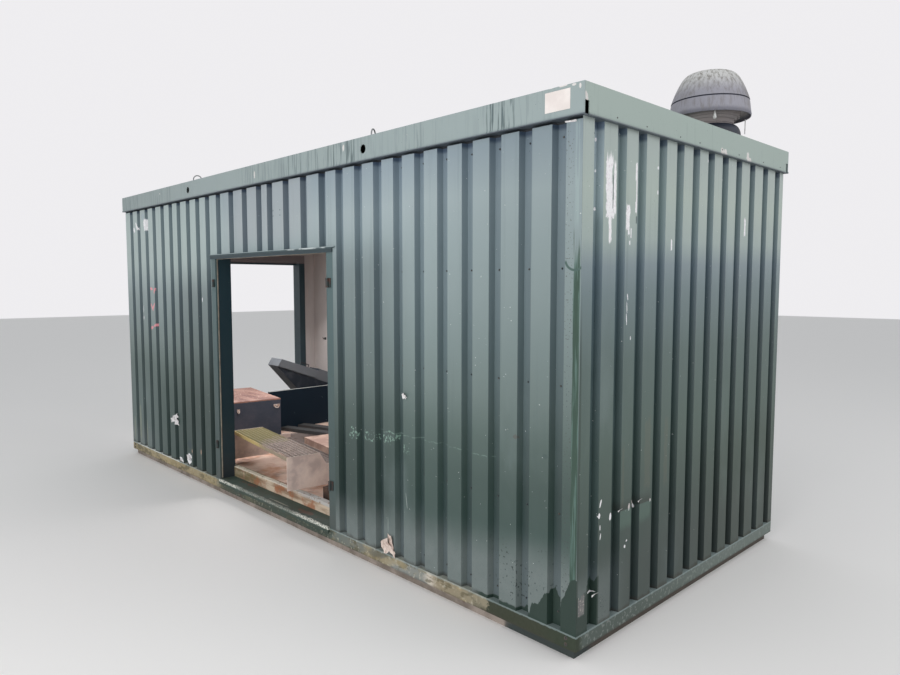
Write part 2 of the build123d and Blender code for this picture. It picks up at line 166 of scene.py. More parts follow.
class Finish:
    """A node material, written as sums of wires."""

    def __init__(self, name):
        self.material = bpy.data.materials.new(name)
        self.material.use_nodes = True
        self.tree = self.material.node_tree
        self.tree.nodes.clear()
        self.shader = self.tree.nodes.new("ShaderNodeBsdfPrincipled")
        output = self.tree.nodes.new("ShaderNodeOutputMaterial")
        self.tree.links.new(self.shader.outputs[0], output.inputs[0])
        self.place = self.node("TexCoord", {}, {}, "Object")
        self.x, self.y, self.z = (self.node("SeparateXYZ", {}, {0: self.place}, axis) for axis in "XYZ")

    def node(self, kind, settings, sockets, out=0):
        """Adds a node: its settings first, then the values or links of its sockets."""
        made = self.tree.nodes.new("ShaderNode" + kind)
        for name, value in settings.items():
            if name == "stops":
                elements = made.color_ramp.elements
                while len(elements) < len(value):
                    elements.new(1.0)
                for element, (place, tone) in zip(elements, value):
                    element.position = place
                    element.color = (*tone, 1.0)
            else:
                setattr(made, name, value)
        for key, value in sockets.items():
            if isinstance(value, Wire):
                self.tree.links.new(value.socket, made.inputs[key])
            else:
                made.inputs[key].default_value = value
        return Wire(self, made.outputs[out])

    def noise(self, scale, stretch=(1, 1, 1), detail=4.0, roughness=0.55, shift=0.0):
        """Noise over the object, 0 to 1 round 0.5; stretch below 1 draws it out along that axis."""
        at = self.node("Mapping", {}, {"Vector": self.place, "Location": (shift, shift, shift),
                                       "Scale": [scale * s for s in stretch]})
        return self.node("TexNoise", {}, {"Vector": at, "Scale": 1.0, "Detail": detail,
                                          "Roughness": roughness})

    def rise(self, value, low, high):
        """0 below low and 1 above high, with a soft step between; low may be the higher number."""
        return self.node("MapRange", {"interpolation_type": "SMOOTHSTEP"},
                         {"Value": value, "From Min": low, "From Max": high})

    def most(self, *values):
        """The highest of several values."""
        highest = values[0]
        for value in values[1:]:
            highest = highest.sum("MAXIMUM", highest, value)
        return highest

    def mix(self, share, first, second):
        """A colour between two: wires or plain colours."""
        first, second = (c if isinstance(c, Wire) else (*c, 1.0) for c in (first, second))
        return self.node("Mix", {"data_type": "RGBA"}, {0: share, 6: first, 7: second}, 2)

    def ramp(self, value, stops):
        return self.node("ValToRGB", {"stops": stops}, {0: value})

    def patch(self, centre, reach, ragged, turn=(0.0, 0.0, 0.0)):
        """1 inside an ellipsoid round centre, 0 outside, with an outline that a centred noise eats."""
        at = self.node("Mapping", {"vector_type": "TEXTURE"},
                       {"Vector": self.place, "Location": centre, "Rotation": turn, "Scale": reach})
        far = self.node("VectorMath", {"operation": "LENGTH"}, {0: at}, "Value")
        return self.rise(far + ragged, 1.06, 0.94)

    def spots(self, flat, ragged, *places):
        """1 inside ellipses on a wall; flat is the axis that the wall faces."""
        masks = []
        for across, up, half, reach, turn in places:
            if flat == 0:
                masks.append(self.patch((0, across, up), (FAR, half, reach), ragged, (turn, 0, 0)))
            elif flat == 1:
                masks.append(self.patch((across, 0, up), (half, FAR, reach), ragged, (0, turn, 0)))
            else:
                masks.append(self.patch((across, up, 0), (half, reach, FAR), ragged, (0, 0, turn)))
        return self.most(*masks)

    def size(self, value):
        """A value without its sign."""
        return self.node("Math", {"operation": "ABSOLUTE"}, {0: value})

    def bars(self, across, torn, *places):
        """1 inside upright bars, each a middle, a height, half a width and half a length, with torn edges."""
        sides, ends = torn
        return self.most(*[self.rise(self.size(across - a) / half + sides, 1.0, 0.9)
                           * self.rise(self.size(self.z - z) / up + ends, 1.0, 0.95)
                           for a, z, half, up in places])

    def shaded(self, share, tone, by):
        """A colour multiplied by another one where share is 1."""
        return self.node("Mix", {"data_type": "RGBA", "blend_type": "MULTIPLY"},
                         {0: share, 6: tone, 7: (*by, 1.0)}, 2)

    def done(self, tone, roughness, height=None, depth=0.001, strength=0.5, **fixed):
        """Joins what changes over the surface to the shader and sets what doesn't."""
        for name, value in (("Base Color", tone), ("Roughness", roughness)):
            socket = self.shader.inputs[name]
            if isinstance(value, Wire):
                self.tree.links.new(value.socket, socket)
            else:
                socket.default_value = (*value, 1.0) if name == "Base Color" else value
        if height is not None:
            bump = self.node("Bump", {}, {"Strength": strength, "Distance": depth, "Height": height},
                             "Normal")
            self.tree.links.new(bump.socket, self.shader.inputs["Normal"])
        for name, value in fixed.items():
            socket = self.shader.inputs[name.replace("_", " ").title()]
            if isinstance(value, Wire):
                self.tree.links.new(value.socket, socket)
            else:
                socket.default_value = value
        return self.material


FAR = 1000.0            # reach of a patch along the axis that it doesn't depend on
SHEET_TOP = 2.67
BASE_TOP = 0.135


def looks():
    return bpy.context.scene.container_colours


def sizes():
    return bpy.context.scene.container_sizes


def weathered_sheet(f, tone, depth, shadow, chalk, lift=0.0):
    """Marks that all cladding shares: painted shade in the valleys and under the roof edge, runs, specks,
    a chalky foot. Returns tone, roughness and height."""
    c = looks()
    streaks = f.noise(26.0, (1, 1, 0.03), 6.0)
    clouds = f.noise(2.2, (1, 1, 0.5), 5.0, shift=3.0)
    tone = f.mix(f.rise(streaks, 0.52, 0.76) * 0.16, tone, c.streak)
    tone = f.mix(f.rise(clouds, 0.55, 0.8) * 0.2, tone, c.sheet_upper)
    tone = f.mix(chalk, tone, f.mix(f.noise(11.0, detail=5.0), shade(104, 114, 112), c.chalk))
    grain = f.noise(230.0, detail=2.0, shift=8.0)
    tone = f.mix(f.rise(grain, 0.56, 0.68) * chalk * 0.4, tone, shade(76, 88, 88))
    # Painted shade: the valleys are darkened by the shadow factor, eased low on the flanks by lift.
    shaded_valley = f.rise(depth, 0.0006, 0.002)
    eased_shade = f.rise(depth, 0.0375, 0.036) * f.rise(f.z, 1.5, 0.7) * lift
    tone = f.shaded(shaded_valley * (1 - eased_shade), tone, shadow)
    # Painted shadow in the tops of the valleys under the roof edge.
    tone = f.shaded(shaded_valley * f.rise(f.z, 2.62, 2.645), tone, (0.34, 0.4, 0.52))
    specks = f.noise(150.0, detail=1.0, shift=9.0)
    tone = f.mix(f.rise(specks, 0.74, 0.76) * f.rise(clouds, 0.45, 0.62) * 0.6, tone, c.repaint)
    chips = f.noise(76.0, detail=1.0, shift=21.0)
    tone = f.mix(f.rise(chips, 0.8, 0.81) * 0.8, tone, c.bare)
    foot = f.rise(f.z + (f.noise(14.0, detail=5.0) - 0.5) * 0.05, BASE_TOP + 0.03, BASE_TOP)
    tone = f.mix(foot * 0.6, tone, c.grime)
    roughness = 0.34 + clouds * 0.16 + chalk * 0.3 + foot * 0.2
    height = f.noise(3.0, (1, 1, 0.4), 2.0) + f.noise(320.0, detail=2.0) * 0.02
    return tone, roughness, height


def torn_edges(f):
    """Noises that tear the sides and the ends of upright paint losses."""
    sides = (f.noise(42.0, (1, 1, 0.45), 4.0, shift=5.0) - 0.5) * 1.5
    ends = (f.noise(210.0, (1, 1, 0.04), 3.0, shift=6.0) - 0.5) * 1.1
    return sides, ends


def front_sheet():
    """Cladding of the long front wall, with its marks: losses, marker strokes, scuffs and repaint."""
    c = looks()
    f = Finish("front_sheet_paint")
    # Painted reflection and shade by height: the crests lighter high up where the paint reflects the sky, darker low
    # down.
    level = (f.z + (f.noise(1.1, (1, 1, 0.3)) - 0.5) * 0.14) / 3.0
    tone = f.ramp(level, [(0.2, c.sheet_foot), (0.275, shade(68, 86, 81)), (0.35, c.sheet_lower),
                          (0.433, shade(112, 127, 124)), (0.52, c.sheet_middle),
                          (0.61, shade(138, 152, 152)), (0.7, c.sheet_upper), (0.79, shade(155, 168, 170)),
                          (0.87, c.sheet_top)])
    # Painted reflection: round the doorway the crests are darker below the reflected sky line.
    dark_reflection = f.rise(f.x, 1.9, 1.4) * f.rise(f.x, -2.1, -1.3) * f.rise(f.z, 2.3, 1.95)
    tone = f.shaded(dark_reflection, tone, (0.69, 0.7, 0.7))
    # Painted shade: the cladding above the foot is darker towards the right end.
    tone = f.shaded(f.rise(f.x, 1.5, 2.9) * f.rise(f.z, 0.4, 0.9), tone, (0.78, 0.79, 0.78))
    # Painted reflection: the upper cladding towards the left is lighter where it reflects the sky.
    tone = f.mix(f.rise(f.x, -0.3, -1.3) * f.rise(f.z, 1.75, 2.15) * 0.75, tone, shade(172, 187, 182))
    tone = f.mix(f.rise(f.x, -2.0, -2.5) * f.rise(f.z, 1.3, 0.7) * 0.5, tone, shade(104, 120, 118))
    over = f.rise(f.size(f.x - 0.05), 0.75, 0.4) * f.rise(f.z, 2.12, 2.3)
    tone = f.mix(over * 0.6, tone, shade(160, 166, 168))
    wander = (f.noise(6.0, (1, 1, 0.6), 4.0, shift=2.0) - 0.5) * 0.1
    chalk = f.most(f.rise(f.z + wander - f.x * 0.09, 0.37, 0.1) * f.rise(f.x, 0.5, 0.8) * 0.8,
                   f.rise(f.z + wander, 0.42, 0.22) * f.rise(f.x, -2.2, -2.8))
    depth = 1.22 - f.size(f.y)
    tone, roughness, height = weathered_sheet(f, tone, depth, (0.64, 0.68, 0.73), chalk, 0.9)
    # Painted shade: deeper valley shade on the left and middle of the wall.
    tone = f.shaded(f.rise(depth, 0.0006, 0.002) * f.rise(f.x, 1.1, 0.8), tone, (0.66, 0.68, 0.7))

    torn = torn_edges(f)
    rag = (f.noise(60.0, (1, 1, 0.5), 5.0, shift=5.0) - 0.5) * 1.5
    fine = (f.noise(90.0, detail=4.0, shift=7.0) - 0.5) * 1.1
    faded = f.spots(1, rag, (-2.51, 2.59, 0.045, 0.035, 0.2), (-2.46, 2.545, 0.035, 0.02, 0.0))
    tone = f.mix(faded * 0.4, tone, shade(140, 156, 170))
    losses = f.most(f.bars(f.x, torn, (-2.452, 2.5, 0.028, 0.06), (-2.42, 2.46, 0.014, 0.06),
                           (-2.485, 2.515, 0.008, 0.03)),
                    f.spots(1, rag, (-2.69, 2.497, 0.016, 0.045, -0.5), (-2.76, 2.46, 0.02, 0.03, -0.5),
                            (-1.133, 1.743, 0.006, 0.02, 0), (-2.565, 1.53, 0.006, 0.02, 0.2),
                            (-2.565, 1.62, 0.004, 0.04, 0.0), (-1.7, 0.165, 0.045, 0.016, 0.3),
                            (-1.52, 0.2, 0.05, 0.045, 0.0), (-1.5, 0.235, 0.04, 0.02, 0.2)))
    tone = f.mix(losses, tone, f.mix(f.rise(fine, -0.1, 0.3), shade(250, 249, 249), shade(216, 210, 212)))
    scuffs = f.spots(1, rag * 0.5, (1.345, 0.885, 0.07, 0.045, 0.1), (1.55, 0.905, 0.07, 0.045, -0.3),
                     (1.16, 0.87, 0.045, 0.05, 0), (1.7, 0.86, 0.05, 0.03, 0.4))
    web = f.rise(f.noise(62.0, detail=5.0, shift=3.0), 0.53, 0.6)
    tone = f.mix(scuffs * web * 0.6, tone, shade(150, 182, 166))
    thread = f.size(f.z - 0.945 + f.size(f.x - 1.9) * 0.02 + (f.noise(9.0, (1, 0, 0)) - 0.5) * 0.05)
    line = f.rise(thread, 0.0045, 0.002) * f.rise(f.x, 1.4, 1.45) * f.rise(f.x, 2.5, 2.4)
    tone = f.mix(line * f.rise(f.noise(18.0, shift=3.0), 0.42, 0.55) * 0.3, tone, shade(140, 166, 154))
    pink = f.spots(1, fine, (-2.335, 1.838, 0.034, 0.014, 0.1), (-2.262, 1.817, 0.012, 0.03, 0.3),
                   (-2.33, 1.65, 0.05, 0.011, 0.9), (-2.29, 1.655, 0.05, 0.011, -0.9),
                   (-2.35, 1.435, 0.04, 0.015, -0.25), (-2.25, 1.466, 0.05, 0.013, -0.3))
    tone = f.mix(pink * 0.9, tone, c.pink)
    washed = f.spots(1, rag * 0.4, (-2.76, 0.38, 0.03, 0.2, 0.0), (-2.58, 0.3, 0.02, 0.14, 0.0),
                     (-2.93, 0.3, 0.02, 0.14, 0.0))
    tone = f.mix(washed * 0.35, tone, shade(148, 152, 128))
    faint = f.spots(1, fine * 0.4, (1.715, 0.53, 0.004, 0.05, -0.15), (1.53, 0.33, 0.003, 0.05, 0.0))
    tone = f.mix(faint * 0.6, tone, shade(150, 160, 156))
    smear = f.most(f.spots(1, rag, (-1.5, 0.35, 0.045, 0.04, 0.0), (-1.51, 0.2, 0.02, 0.014, 0.0)),
                   f.spots(1, rag, (2.8, 1.01, 0.016, 0.012, 0.0)) * 0.4)
    tone = f.mix(smear * 0.6, tone, c.frame_green)
    tone = f.mix(f.spots(1, 0.0, (-1.25, 0.24, 0.004, 0.07, 0.0)) * 0.35, tone, shade(150, 150, 136))
    rust_dots = f.spots(1, fine * 0.5, (-1.45, 0.29, 0.007, 0.018, 0.0), (-1.25, 0.315, 0.009, 0.024, 0.0))
    tone = f.mix(rust_dots * 0.8, tone, shade(198, 158, 136))
    tone = f.mix(f.spots(1, rag, (2.6, 1.08, 0.016, 0.012, 0.0)) * 0.3, tone, c.rust_dark)
    pepper = f.rise(f.noise(72.0, detail=0.0, shift=31.0), 0.7, 0.715)
    zone = f.rise(f.x, 2.3, 2.6) * f.rise(f.z + wander, 0.62, 0.4) * f.rise(f.noise(5.0, shift=7.0), 0.45, 0.55)
    tone = f.mix(pepper * zone * 0.85, tone, shade(34, 44, 42))
    bolts = f.spots(1, fine * 0.3, *[(x, z, 0.005, 0.005, 0.0) for x in (0.152, 0.252, 0.35)
                                     for z in (2.405, 2.445)])
    tone = f.mix(bolts * 0.9, tone, c.frame_green)

    dots = f.noise(105.0, detail=0.0, shift=14.0)
    strip = f.rise(f.x, 2.906, 2.912) * f.rise(f.x, 2.962, 2.956)
    tone = f.mix(f.rise(dots, 0.7, 0.72) * strip * 0.5, tone, shade(62, 58, 60))
    sway = (f.noise(14.0, (1, 1, 0.3), 5.0, shift=1.0) - 0.5) * 0.016
    edge = f.rise(f.x + sway, 2.958, 2.962)
    inside = f.rise(f.x, 3.0, 2.996)
    threads = f.noise(120.0, (1, 1, 0.03), 4.0, shift=2.0)
    pale = edge * f.rise(f.x + sway, 2.99, 2.984) * f.rise(f.z, 2.12, 2.2) * f.rise(threads, 0.45, 0.6)
    tone = f.mix(pale * 0.35, tone, shade(158, 176, 174))
    drip = edge * inside * f.rise(f.z + (threads - 0.5) * 0.5, 2.12, 2.0)
    tone = f.mix(drip, tone, f.mix(f.rise(threads, 0.5, 0.62), c.streak_green, shade(82, 108, 100)))
    ring_far = f.node("VectorMath", {"operation": "LENGTH"}, {0: f.node(
        "Mapping", {"vector_type": "TEXTURE"},
        {"Vector": f.place, "Location": (2.968, 0, 1.999), "Scale": (0.058, FAR, 0.052)})}, "Value")
    arc = f.rise(ring_far, 0.82, 0.9) * f.rise(ring_far, 1.12, 1.04) * f.rise(f.z, 2.0, 1.985)
    tone = f.mix(arc, tone, shade(66, 90, 84))
    top = f.ramp((f.x - 2.6) / 0.41, [(0.05, (0.26,) * 3), (0.14, (0.35,) * 3), (0.26, (0.325,) * 3),
                                      (0.3, (0.44,) * 3), (0.4, (0.46,) * 3), (0.48, (0.56,) * 3),
                                      (0.6, (0.67,) * 3), (0.69, (0.54,) * 3), (0.73, (0.31,) * 3),
                                      (0.76, (0.58,) * 3), (0.83, (0.7,) * 3), (0.9, (0.84,) * 3)]) * 0.5
    brushed = f.rise(f.z - top + (f.noise(70.0, (1, 1, 0.3), 4.0, shift=2.0) - 0.5) * 0.05, 0.003, -0.003)
    low = f.rise(f.z + (f.noise(16.0, detail=5.0) - 0.5) * 0.03, 0.158, 0.152) * f.rise(f.x, 2.3, 2.36)
    painted = f.most(brushed * f.rise(f.x, 2.615, 2.625), low)
    tone = f.mix(painted, tone, c.repaint)
    return f.done(tone, roughness - painted * 0.1, height - painted * 0.02, 0.004, 0.35)


def end_sheet(name, marked):
    """Cladding of an end wall; the right end carries long paint losses and a dent, drawn with a bump, painted light
    below its crease and painted shadow above it.
    """
    c = looks()
    f = Finish(name)
    # Painted reflection and shade by height: lighter high up where the paint reflects the sky, darker low down, along a
    # line that tilts slightly along the wall.
    level = (f.z - f.y * 0.02 + (f.noise(1.3, (1, 1, 0.3)) - 0.5) * 0.05) / 3.0
    tone = f.ramp(level, [(0.13, shade(57, 69, 64)), (0.2, shade(56, 72, 65)), (0.27, shade(64, 81, 73)),
                          (0.36, shade(75, 93, 85)), (0.5, shade(86, 103, 99)),
                          (0.62, shade(108, 124, 126)), (0.665, shade(124, 138, 142)),
                          (0.71, shade(155, 168, 163)), (0.79, shade(166, 178, 169)),
                          (0.87, shade(162, 173, 168))])
    wander = (f.noise(6.0, (1, 1, 0.6), 4.0, shift=2.0) - 0.5) * 0.14
    chalk = f.rise(f.z + wander, 0.5, 0.32) * f.rise(f.y, -0.7, -1.0) * 0.5 if marked else 0.0
    depth = 3.0025 - f.size(f.x)
    if not marked:
        depth = depth.sum("MINIMUM", depth, 1.22 - f.size(f.y)) * f.rise(f.z, 2.7, 2.69)
    tone, roughness, height = weathered_sheet(f, tone, depth, (0.6, 0.67, 0.74), chalk)
    # Painted shade: the valleys are darker still towards the back of the wall.
    tone = f.shaded(f.rise(depth, 0.0006, 0.002) * f.rise(f.y, -0.6, 0.6), tone, (0.68, 0.72, 0.74))
    if not marked:
        return f.done(tone, roughness, height, 0.004, 0.35)
    tone = f.shaded(f.rise(f.y, -0.2, 0.4) * f.rise(f.z, 1.1, 0.7), tone, (0.84, 0.89, 0.8))
    # Painted light: the first valley by the front corner keeps less of its painted shade, high up and low down.
    first = f.rise(f.y, -1.032, -1.042) * f.rise(depth, 0.0006, 0.002)
    tone = f.shaded(first * f.most(f.rise(f.z, 2.15, 2.3), f.rise(f.z, 1.1, 0.85) * f.rise(f.z, 0.3, 0.4)), tone,
                    (1.4, 1.34, 1.4))

    torn = torn_edges(f)
    fine = (f.noise(90.0, detail=4.0, shift=7.0) - 0.5) * 1.1
    rag = (f.noise(60.0, (1, 1, 0.4), 5.0, shift=5.0) - 0.5) * 1.5
    brown = f.bars(f.y, torn, (-0.816, 0.86, 0.011, 0.17), (-0.57, 0.95, 0.03, 0.2), (-0.37, 0.93, 0.02, 0.2))
    tone = f.mix(brown * 0.16, tone, shade(112, 104, 84))
    losses = f.bars(f.y, torn, (-0.99, 2.385, 0.031, 0.125), (-0.982, 2.255, 0.038, 0.045),
                    (-0.978, 2.165, 0.013, 0.08), (-0.94, 2.36, 0.011, 0.125),
                    (-0.815, 2.225, 0.018, 0.065), (-0.806, 2.165, 0.009, 0.03),
                    (-0.784, 2.145, 0.005, 0.024), (-0.795, 2.095, 0.005, 0.012),
                    (-0.742, 2.46, 0.008, 0.045), (-0.737, 2.37, 0.005, 0.12),
                    (-0.74, 2.28, 0.008, 0.03), (0.6, 2.255, 0.012, 0.06), (-0.36, 2.1, 0.008, 0.03))
    gap = f.bars(f.y, torn, (-0.957, 2.34, 0.004, 0.08), (-0.735, 2.215, 0.006, 0.02))
    spots = f.spots(0, fine, (-0.524, 2.507, 0.007, 0.009, 0), (-0.523, 2.377, 0.005, 0.013, 0),
                    (-1.06, 2.25, 0.009, 0.01, 0), (-1.058, 2.435, 0.007, 0.007, 0),
                    (-1.06, 2.585, 0.008, 0.01, 0), (-0.908, 2.625, 0.006, 0.006, 0),
                    (0.059, 2.615, 0.006, 0.008, 0), (0.254, 2.522, 0.006, 0.008, 0),
                    (-0.805, 1.815, 0.004, 0.018, 0.2), (-0.81, 1.76, 0.003, 0.03, 0.05),
                    (-0.812, 1.7, 0.0035, 0.03, 0.1), (-0.77, 1.6, 0.004, 0.01, 0.0))
    folds = f.spots(0, fine * 0.5, (-1.021, 0.769, 0.006, 0.022, -0.35), (-1.032, 0.707, 0.009, 0.014, 0),
                    (-0.931, 0.679, 0.009, 0.02, -0.1), (-0.877, 0.688, 0.007, 0.016, 0.7),
                    (-0.751, 0.69, 0.009, 0.02, -0.1), (-0.668, 0.692, 0.008, 0.012, 0.8),
                    (-0.655, 0.672, 0.004, 0.016, 0.2), (-0.533, 0.68, 0.006, 0.01, 0),
                    (-1.023, 0.643, 0.0035, 0.014, 0), (-1.019, 0.595, 0.004, 0.016, -0.2),
                    (-0.787, 0.482, 0.008, 0.009, 0.5), (-0.77, 0.51, 0.007, 0.005, 0.6))
    white = f.mix(f.rise(fine, -0.05, 0.3), shade(240, 238, 238), shade(214, 204, 208))
    tone = f.mix(f.most(losses, spots, folds), tone, white)
    tone = f.mix(f.most(gap, f.spots(0, fine, (-0.7, 2.25, 0.006, 0.02, 0.5),
                                     (-1.122, 2.601, 0.006, 0.008, 0))) * 0.8, tone, c.streak)
    crease = 0.686 - (f.y + 0.93) * 0.02
    under = f.z - crease
    span = f.rise(f.y, -0.86, -0.85) * f.rise(f.y, -0.52, -0.54)
    # Painted light on the crests just below the crease of the dent.
    lit = f.rise(under, 0.002, -0.002) * f.rise(under + (f.noise(9.0) - 0.5) * 0.05, -0.12, -0.06) * span
    tone = f.mix(lit * f.rise(f.x, 3.0, 3.002) * 0.6, tone, shade(80, 104, 93))
    # Painted shadow on the crests just above the crease.
    over = f.rise(under, -0.002, 0.002) * f.rise(under, 0.07, 0.01) * span
    tone = f.shaded(over * 0.8, tone, (0.55, 0.5, 0.46))
    height = height - lit * 0.7 - f.rise(f.size(under), 0.012, 0.0) * span * 0.4

    dots = f.noise(120.0, detail=1.0, shift=14.0)
    near = f.rise(f.y, -0.93, -0.98)
    peppered = f.rise(dots, 0.66, 0.68) * near * f.rise(f.z + wander, 0.36, 0.22)
    tone = f.mix(peppered * 0.8, tone, shade(36, 44, 44))
    jag = (f.noise(50.0, (1, 1, 0.5), 5.0, shift=2.0) - 0.5) * 0.14
    left_out = f.rise(f.size(f.y + 1.178), 0.03, 0.024) * f.rise(f.size(f.z - 0.285), 0.06, 0.045)
    foot = f.most(f.rise(f.y, -1.126, -1.132) * f.rise(f.z + jag, 0.335, 0.325),
                  f.rise(f.y, -1.138, -1.132) * f.rise(f.y, -1.025, -1.031) * f.rise(f.z + jag, 0.385, 0.375))
    edge = f.rise(f.y + (f.noise(20.0, (1, 1, 0.1)) - 0.5) * 0.02, -1.2, -1.208) * f.rise(f.z, 1.9, 1.5)
    painted = f.most(foot * (1 - left_out), edge * 0.6)
    tone = f.mix(left_out * foot * 0.6, tone, f.mix(f.rise(fine, 0.0, 0.3), shade(120, 112, 112), shade(214, 206, 190)))
    tone = f.mix(painted, tone, c.repaint)
    curl = f.spots(0, fine * 0.4, (-1.062, 0.305, 0.02, 0.005, 0.35), (-1.09, 0.312, 0.009, 0.005, -0.4))
    tone = f.mix(curl, tone, white)
    return f.done(tone, roughness - painted * 0.1, height, 0.004, 0.4)


def roof_edge(name, along):
    """Pale fascia paint with dirt runs; along is the axis that the channel runs on."""
    c = looks()
    f = Finish(name)
    squeeze = (1, 0.02, 0.05) if along == 0 else (0.02, 1, 0.05)
    runs = f.noise(64.0, squeeze, 5.0)
    broad = f.noise(0.9, (1, 1, 0.2), 3.0, shift=4.0)
    at = f.x if along == 0 else f.y
    pale = f.mix(f.noise(3.0, detail=5.0) * 0.5, c.fascia, shade(150, 160, 155))
    if along == 0:
        zone = f.most(f.rise(at, 2.38, 2.42) * f.rise(at, 2.62, 2.58), f.rise(at, 0.94, 1.0) * f.rise(at, 1.28, 1.2),
                      f.rise(f.size(at - 1.929), 0.006, 0.003), f.rise(at, 0.2, 0.4) * f.rise(at, 1.1, 0.9) * 0.6,
                      f.rise(broad, 0.44, 0.6) * 0.4)
        tone = f.mix(f.rise(runs, 0.5, 0.6) * zone * 0.8, pale, c.streak)
    else:
        tone = f.mix(f.rise(runs, 0.6, 0.75) * 0.3, f.mix(0.7, pale, shade(162, 176, 166)), c.streak)
    dots = f.noise(120.0, detail=1.0, shift=11.0)
    tone = f.mix(f.rise(dots, 0.75, 0.77) * 0.7, tone, c.streak)
    rag = (f.noise(70.0, detail=4.0) - 0.5) * 1.2
    losses = f.rise(f.noise(48.0, detail=2.0, shift=17.0), 0.8, 0.81)
    if along == 0:
        losses = f.most(losses, f.spots(1, rag, (1.114, 2.78, 0.009, 0.022, 0.1), (-1.98, 2.77, 0.008, 0.008, 0),
                                        (-0.085, 2.742, 0.009, 0.03, 0), (2.83, 2.822, 0.02, 0.004, 0.0),
                                        (2.9, 2.818, 0.025, 0.004, 0.0), (2.965, 2.812, 0.012, 0.006, 0),
                                        (3.0, 2.8, 0.006, 0.012, 0.0)))
    else:
        losses = f.most(losses, f.spots(0, rag * 0.9, (0.19, 2.686, 0.02, 0.022, 0), (0.235, 2.684, 0.02, 0.02, 0),
                                       (0.56, 2.696, 0.02, 0.03, 0.1), (0.585, 2.684, 0.03, 0.012, 0),
                                        (-1.225, 2.745, 0.01, 0.03, 0.2)))
    tone = f.mix(losses, tone, f.mix(f.noise(90.0), c.bare, shade(200, 188, 180)))
    tone = f.mix(f.rise(f.z, 2.684, 2.678) * 0.18, tone, c.streak)
    # Painted shade: a dark line along the fascia's lower edge.
    tone = f.mix(f.rise(f.z, 2.677, 2.672) * 0.8, tone, shade(62, 68, 80))
    return f.done(tone, 0.42 + broad * 0.2, f.noise(2.4, detail=2.0) + runs * 0.05, 0.004, 0.3)


def dark_frame():
    """Door frames: dark inside the doorway, with painted shade that deepens towards the floor; paler on the outer face,
    darker towards its foot.
    """
    c = looks()
    f = Finish("door_frame_paint")
    worn = f.noise(14.0, detail=6.0)
    outer = f.most(f.rise(f.y, -1.2, -1.214), f.rise(f.x, -2.98, -2.996))
    # Painted shade inside the doorway, deepening towards the floor.
    reveal_shade = f.mix(f.rise(f.z, 0.6, 1.9), shade(27, 48, 55), c.frame_green)
    tone = f.mix(outer, reveal_shade, f.mix(f.rise(f.z, 0.4, 2.0), shade(62, 78, 76), c.jamb_green))
    tone = f.mix(f.rise(worn, 0.6, 0.8) * 0.15, tone, c.grime)
    chips = f.noise(85.0, detail=2.0, shift=3.0)
    tone = f.mix(f.rise(chips, 0.785, 0.795), tone, c.bare)
    low = f.rise(f.z + (worn - 0.5) * 0.3, 0.42, 0.16)
    tone = f.mix(low * 0.12, tone, c.rust_dark)
    return f.done(tone, 0.33 + worn * 0.25, worn, 0.0006, 0.3)


def head_paint():
    """Heads over the doorways: a pale upper edge and a blue green band over a dark underside."""
    c = looks()
    f = Finish("door_head_paint")
    worn = f.noise(18.0, (0.4, 0.4, 1), 6.0)
    outside = f.most(f.rise(f.y, -1.18, -1.2), f.rise(f.x, -2.96, -2.99))
    band = f.mix(f.rise(f.z, 2.126, 2.13), shade(32, 50, 55), shade(50, 68, 72))
    band = f.mix(f.rise(f.z, 2.138, 2.14), band, shade(150, 164, 164))
    inner = f.mix(f.rise(f.z, 2.15, 2.158), c.frame_green, shade(116, 108, 108))
    tone = f.mix(outside, inner, band)
    tone = f.mix(f.rise(f.z, 2.112, 2.108) * outside * 0.8, tone, c.frame_green)
    flaked = f.rise(f.z, 2.13, 2.136) * f.rise(f.x, 0.2, 0.5) * f.rise(worn, 0.5, 0.6)
    tone = f.mix(flaked * 0.85, tone, shade(196, 204, 202))
    return f.done(tone, 0.4 + worn * 0.2, worn, 0.0006, 0.4)


def threshold_paint():
    """Thresholds: dark green, dirty, worn to a crumbled white line along the front edge."""
    c = looks()
    f = Finish("threshold_paint")
    dirt = f.noise(11.0, detail=6.0)
    crumbs = f.noise(34.0, (0.5, 1, 1), 5.0, shift=6.0)
    tone = f.mix(f.rise(dirt, 0.4, 0.75) * 0.6, shade(48, 66, 58), shade(64, 62, 50))
    ragged = (crumbs - 0.5) * 3.0
    rusted = f.spots(2, ragged, (0.48, -1.17, 0.1, 0.03, 0.0), (-0.5, -1.12, 0.1, 0.02, 0.0))
    tone = f.mix(rusted * 0.5, tone, shade(104, 62, 48))
    grit = f.noise(150.0, (0.6, 1, 1), 3.0, shift=4.0)
    edge = f.y + (crumbs - 0.5) * 0.05 + (grit - 0.5) * 0.02
    line = f.rise(edge, -1.212, -1.222) * f.rise(f.z, 0.12, 0.13)
    ends = f.most(f.rise(f.x, -0.35, -0.6), f.rise(f.x, 0.25, 0.5), 0.35)
    tone = f.mix(line * ends * f.rise(grit, 0.44, 0.5), tone, shade(218, 218, 206))
    streak = f.spots(2, ragged * 0.6, (0.1, -1.19, 0.13, 0.007, 0.0))
    tone = f.mix(streak * 0.6, tone, shade(160, 154, 136))
    return f.done(tone, 0.5 + dirt * 0.3, dirt, 0.001, 0.5)


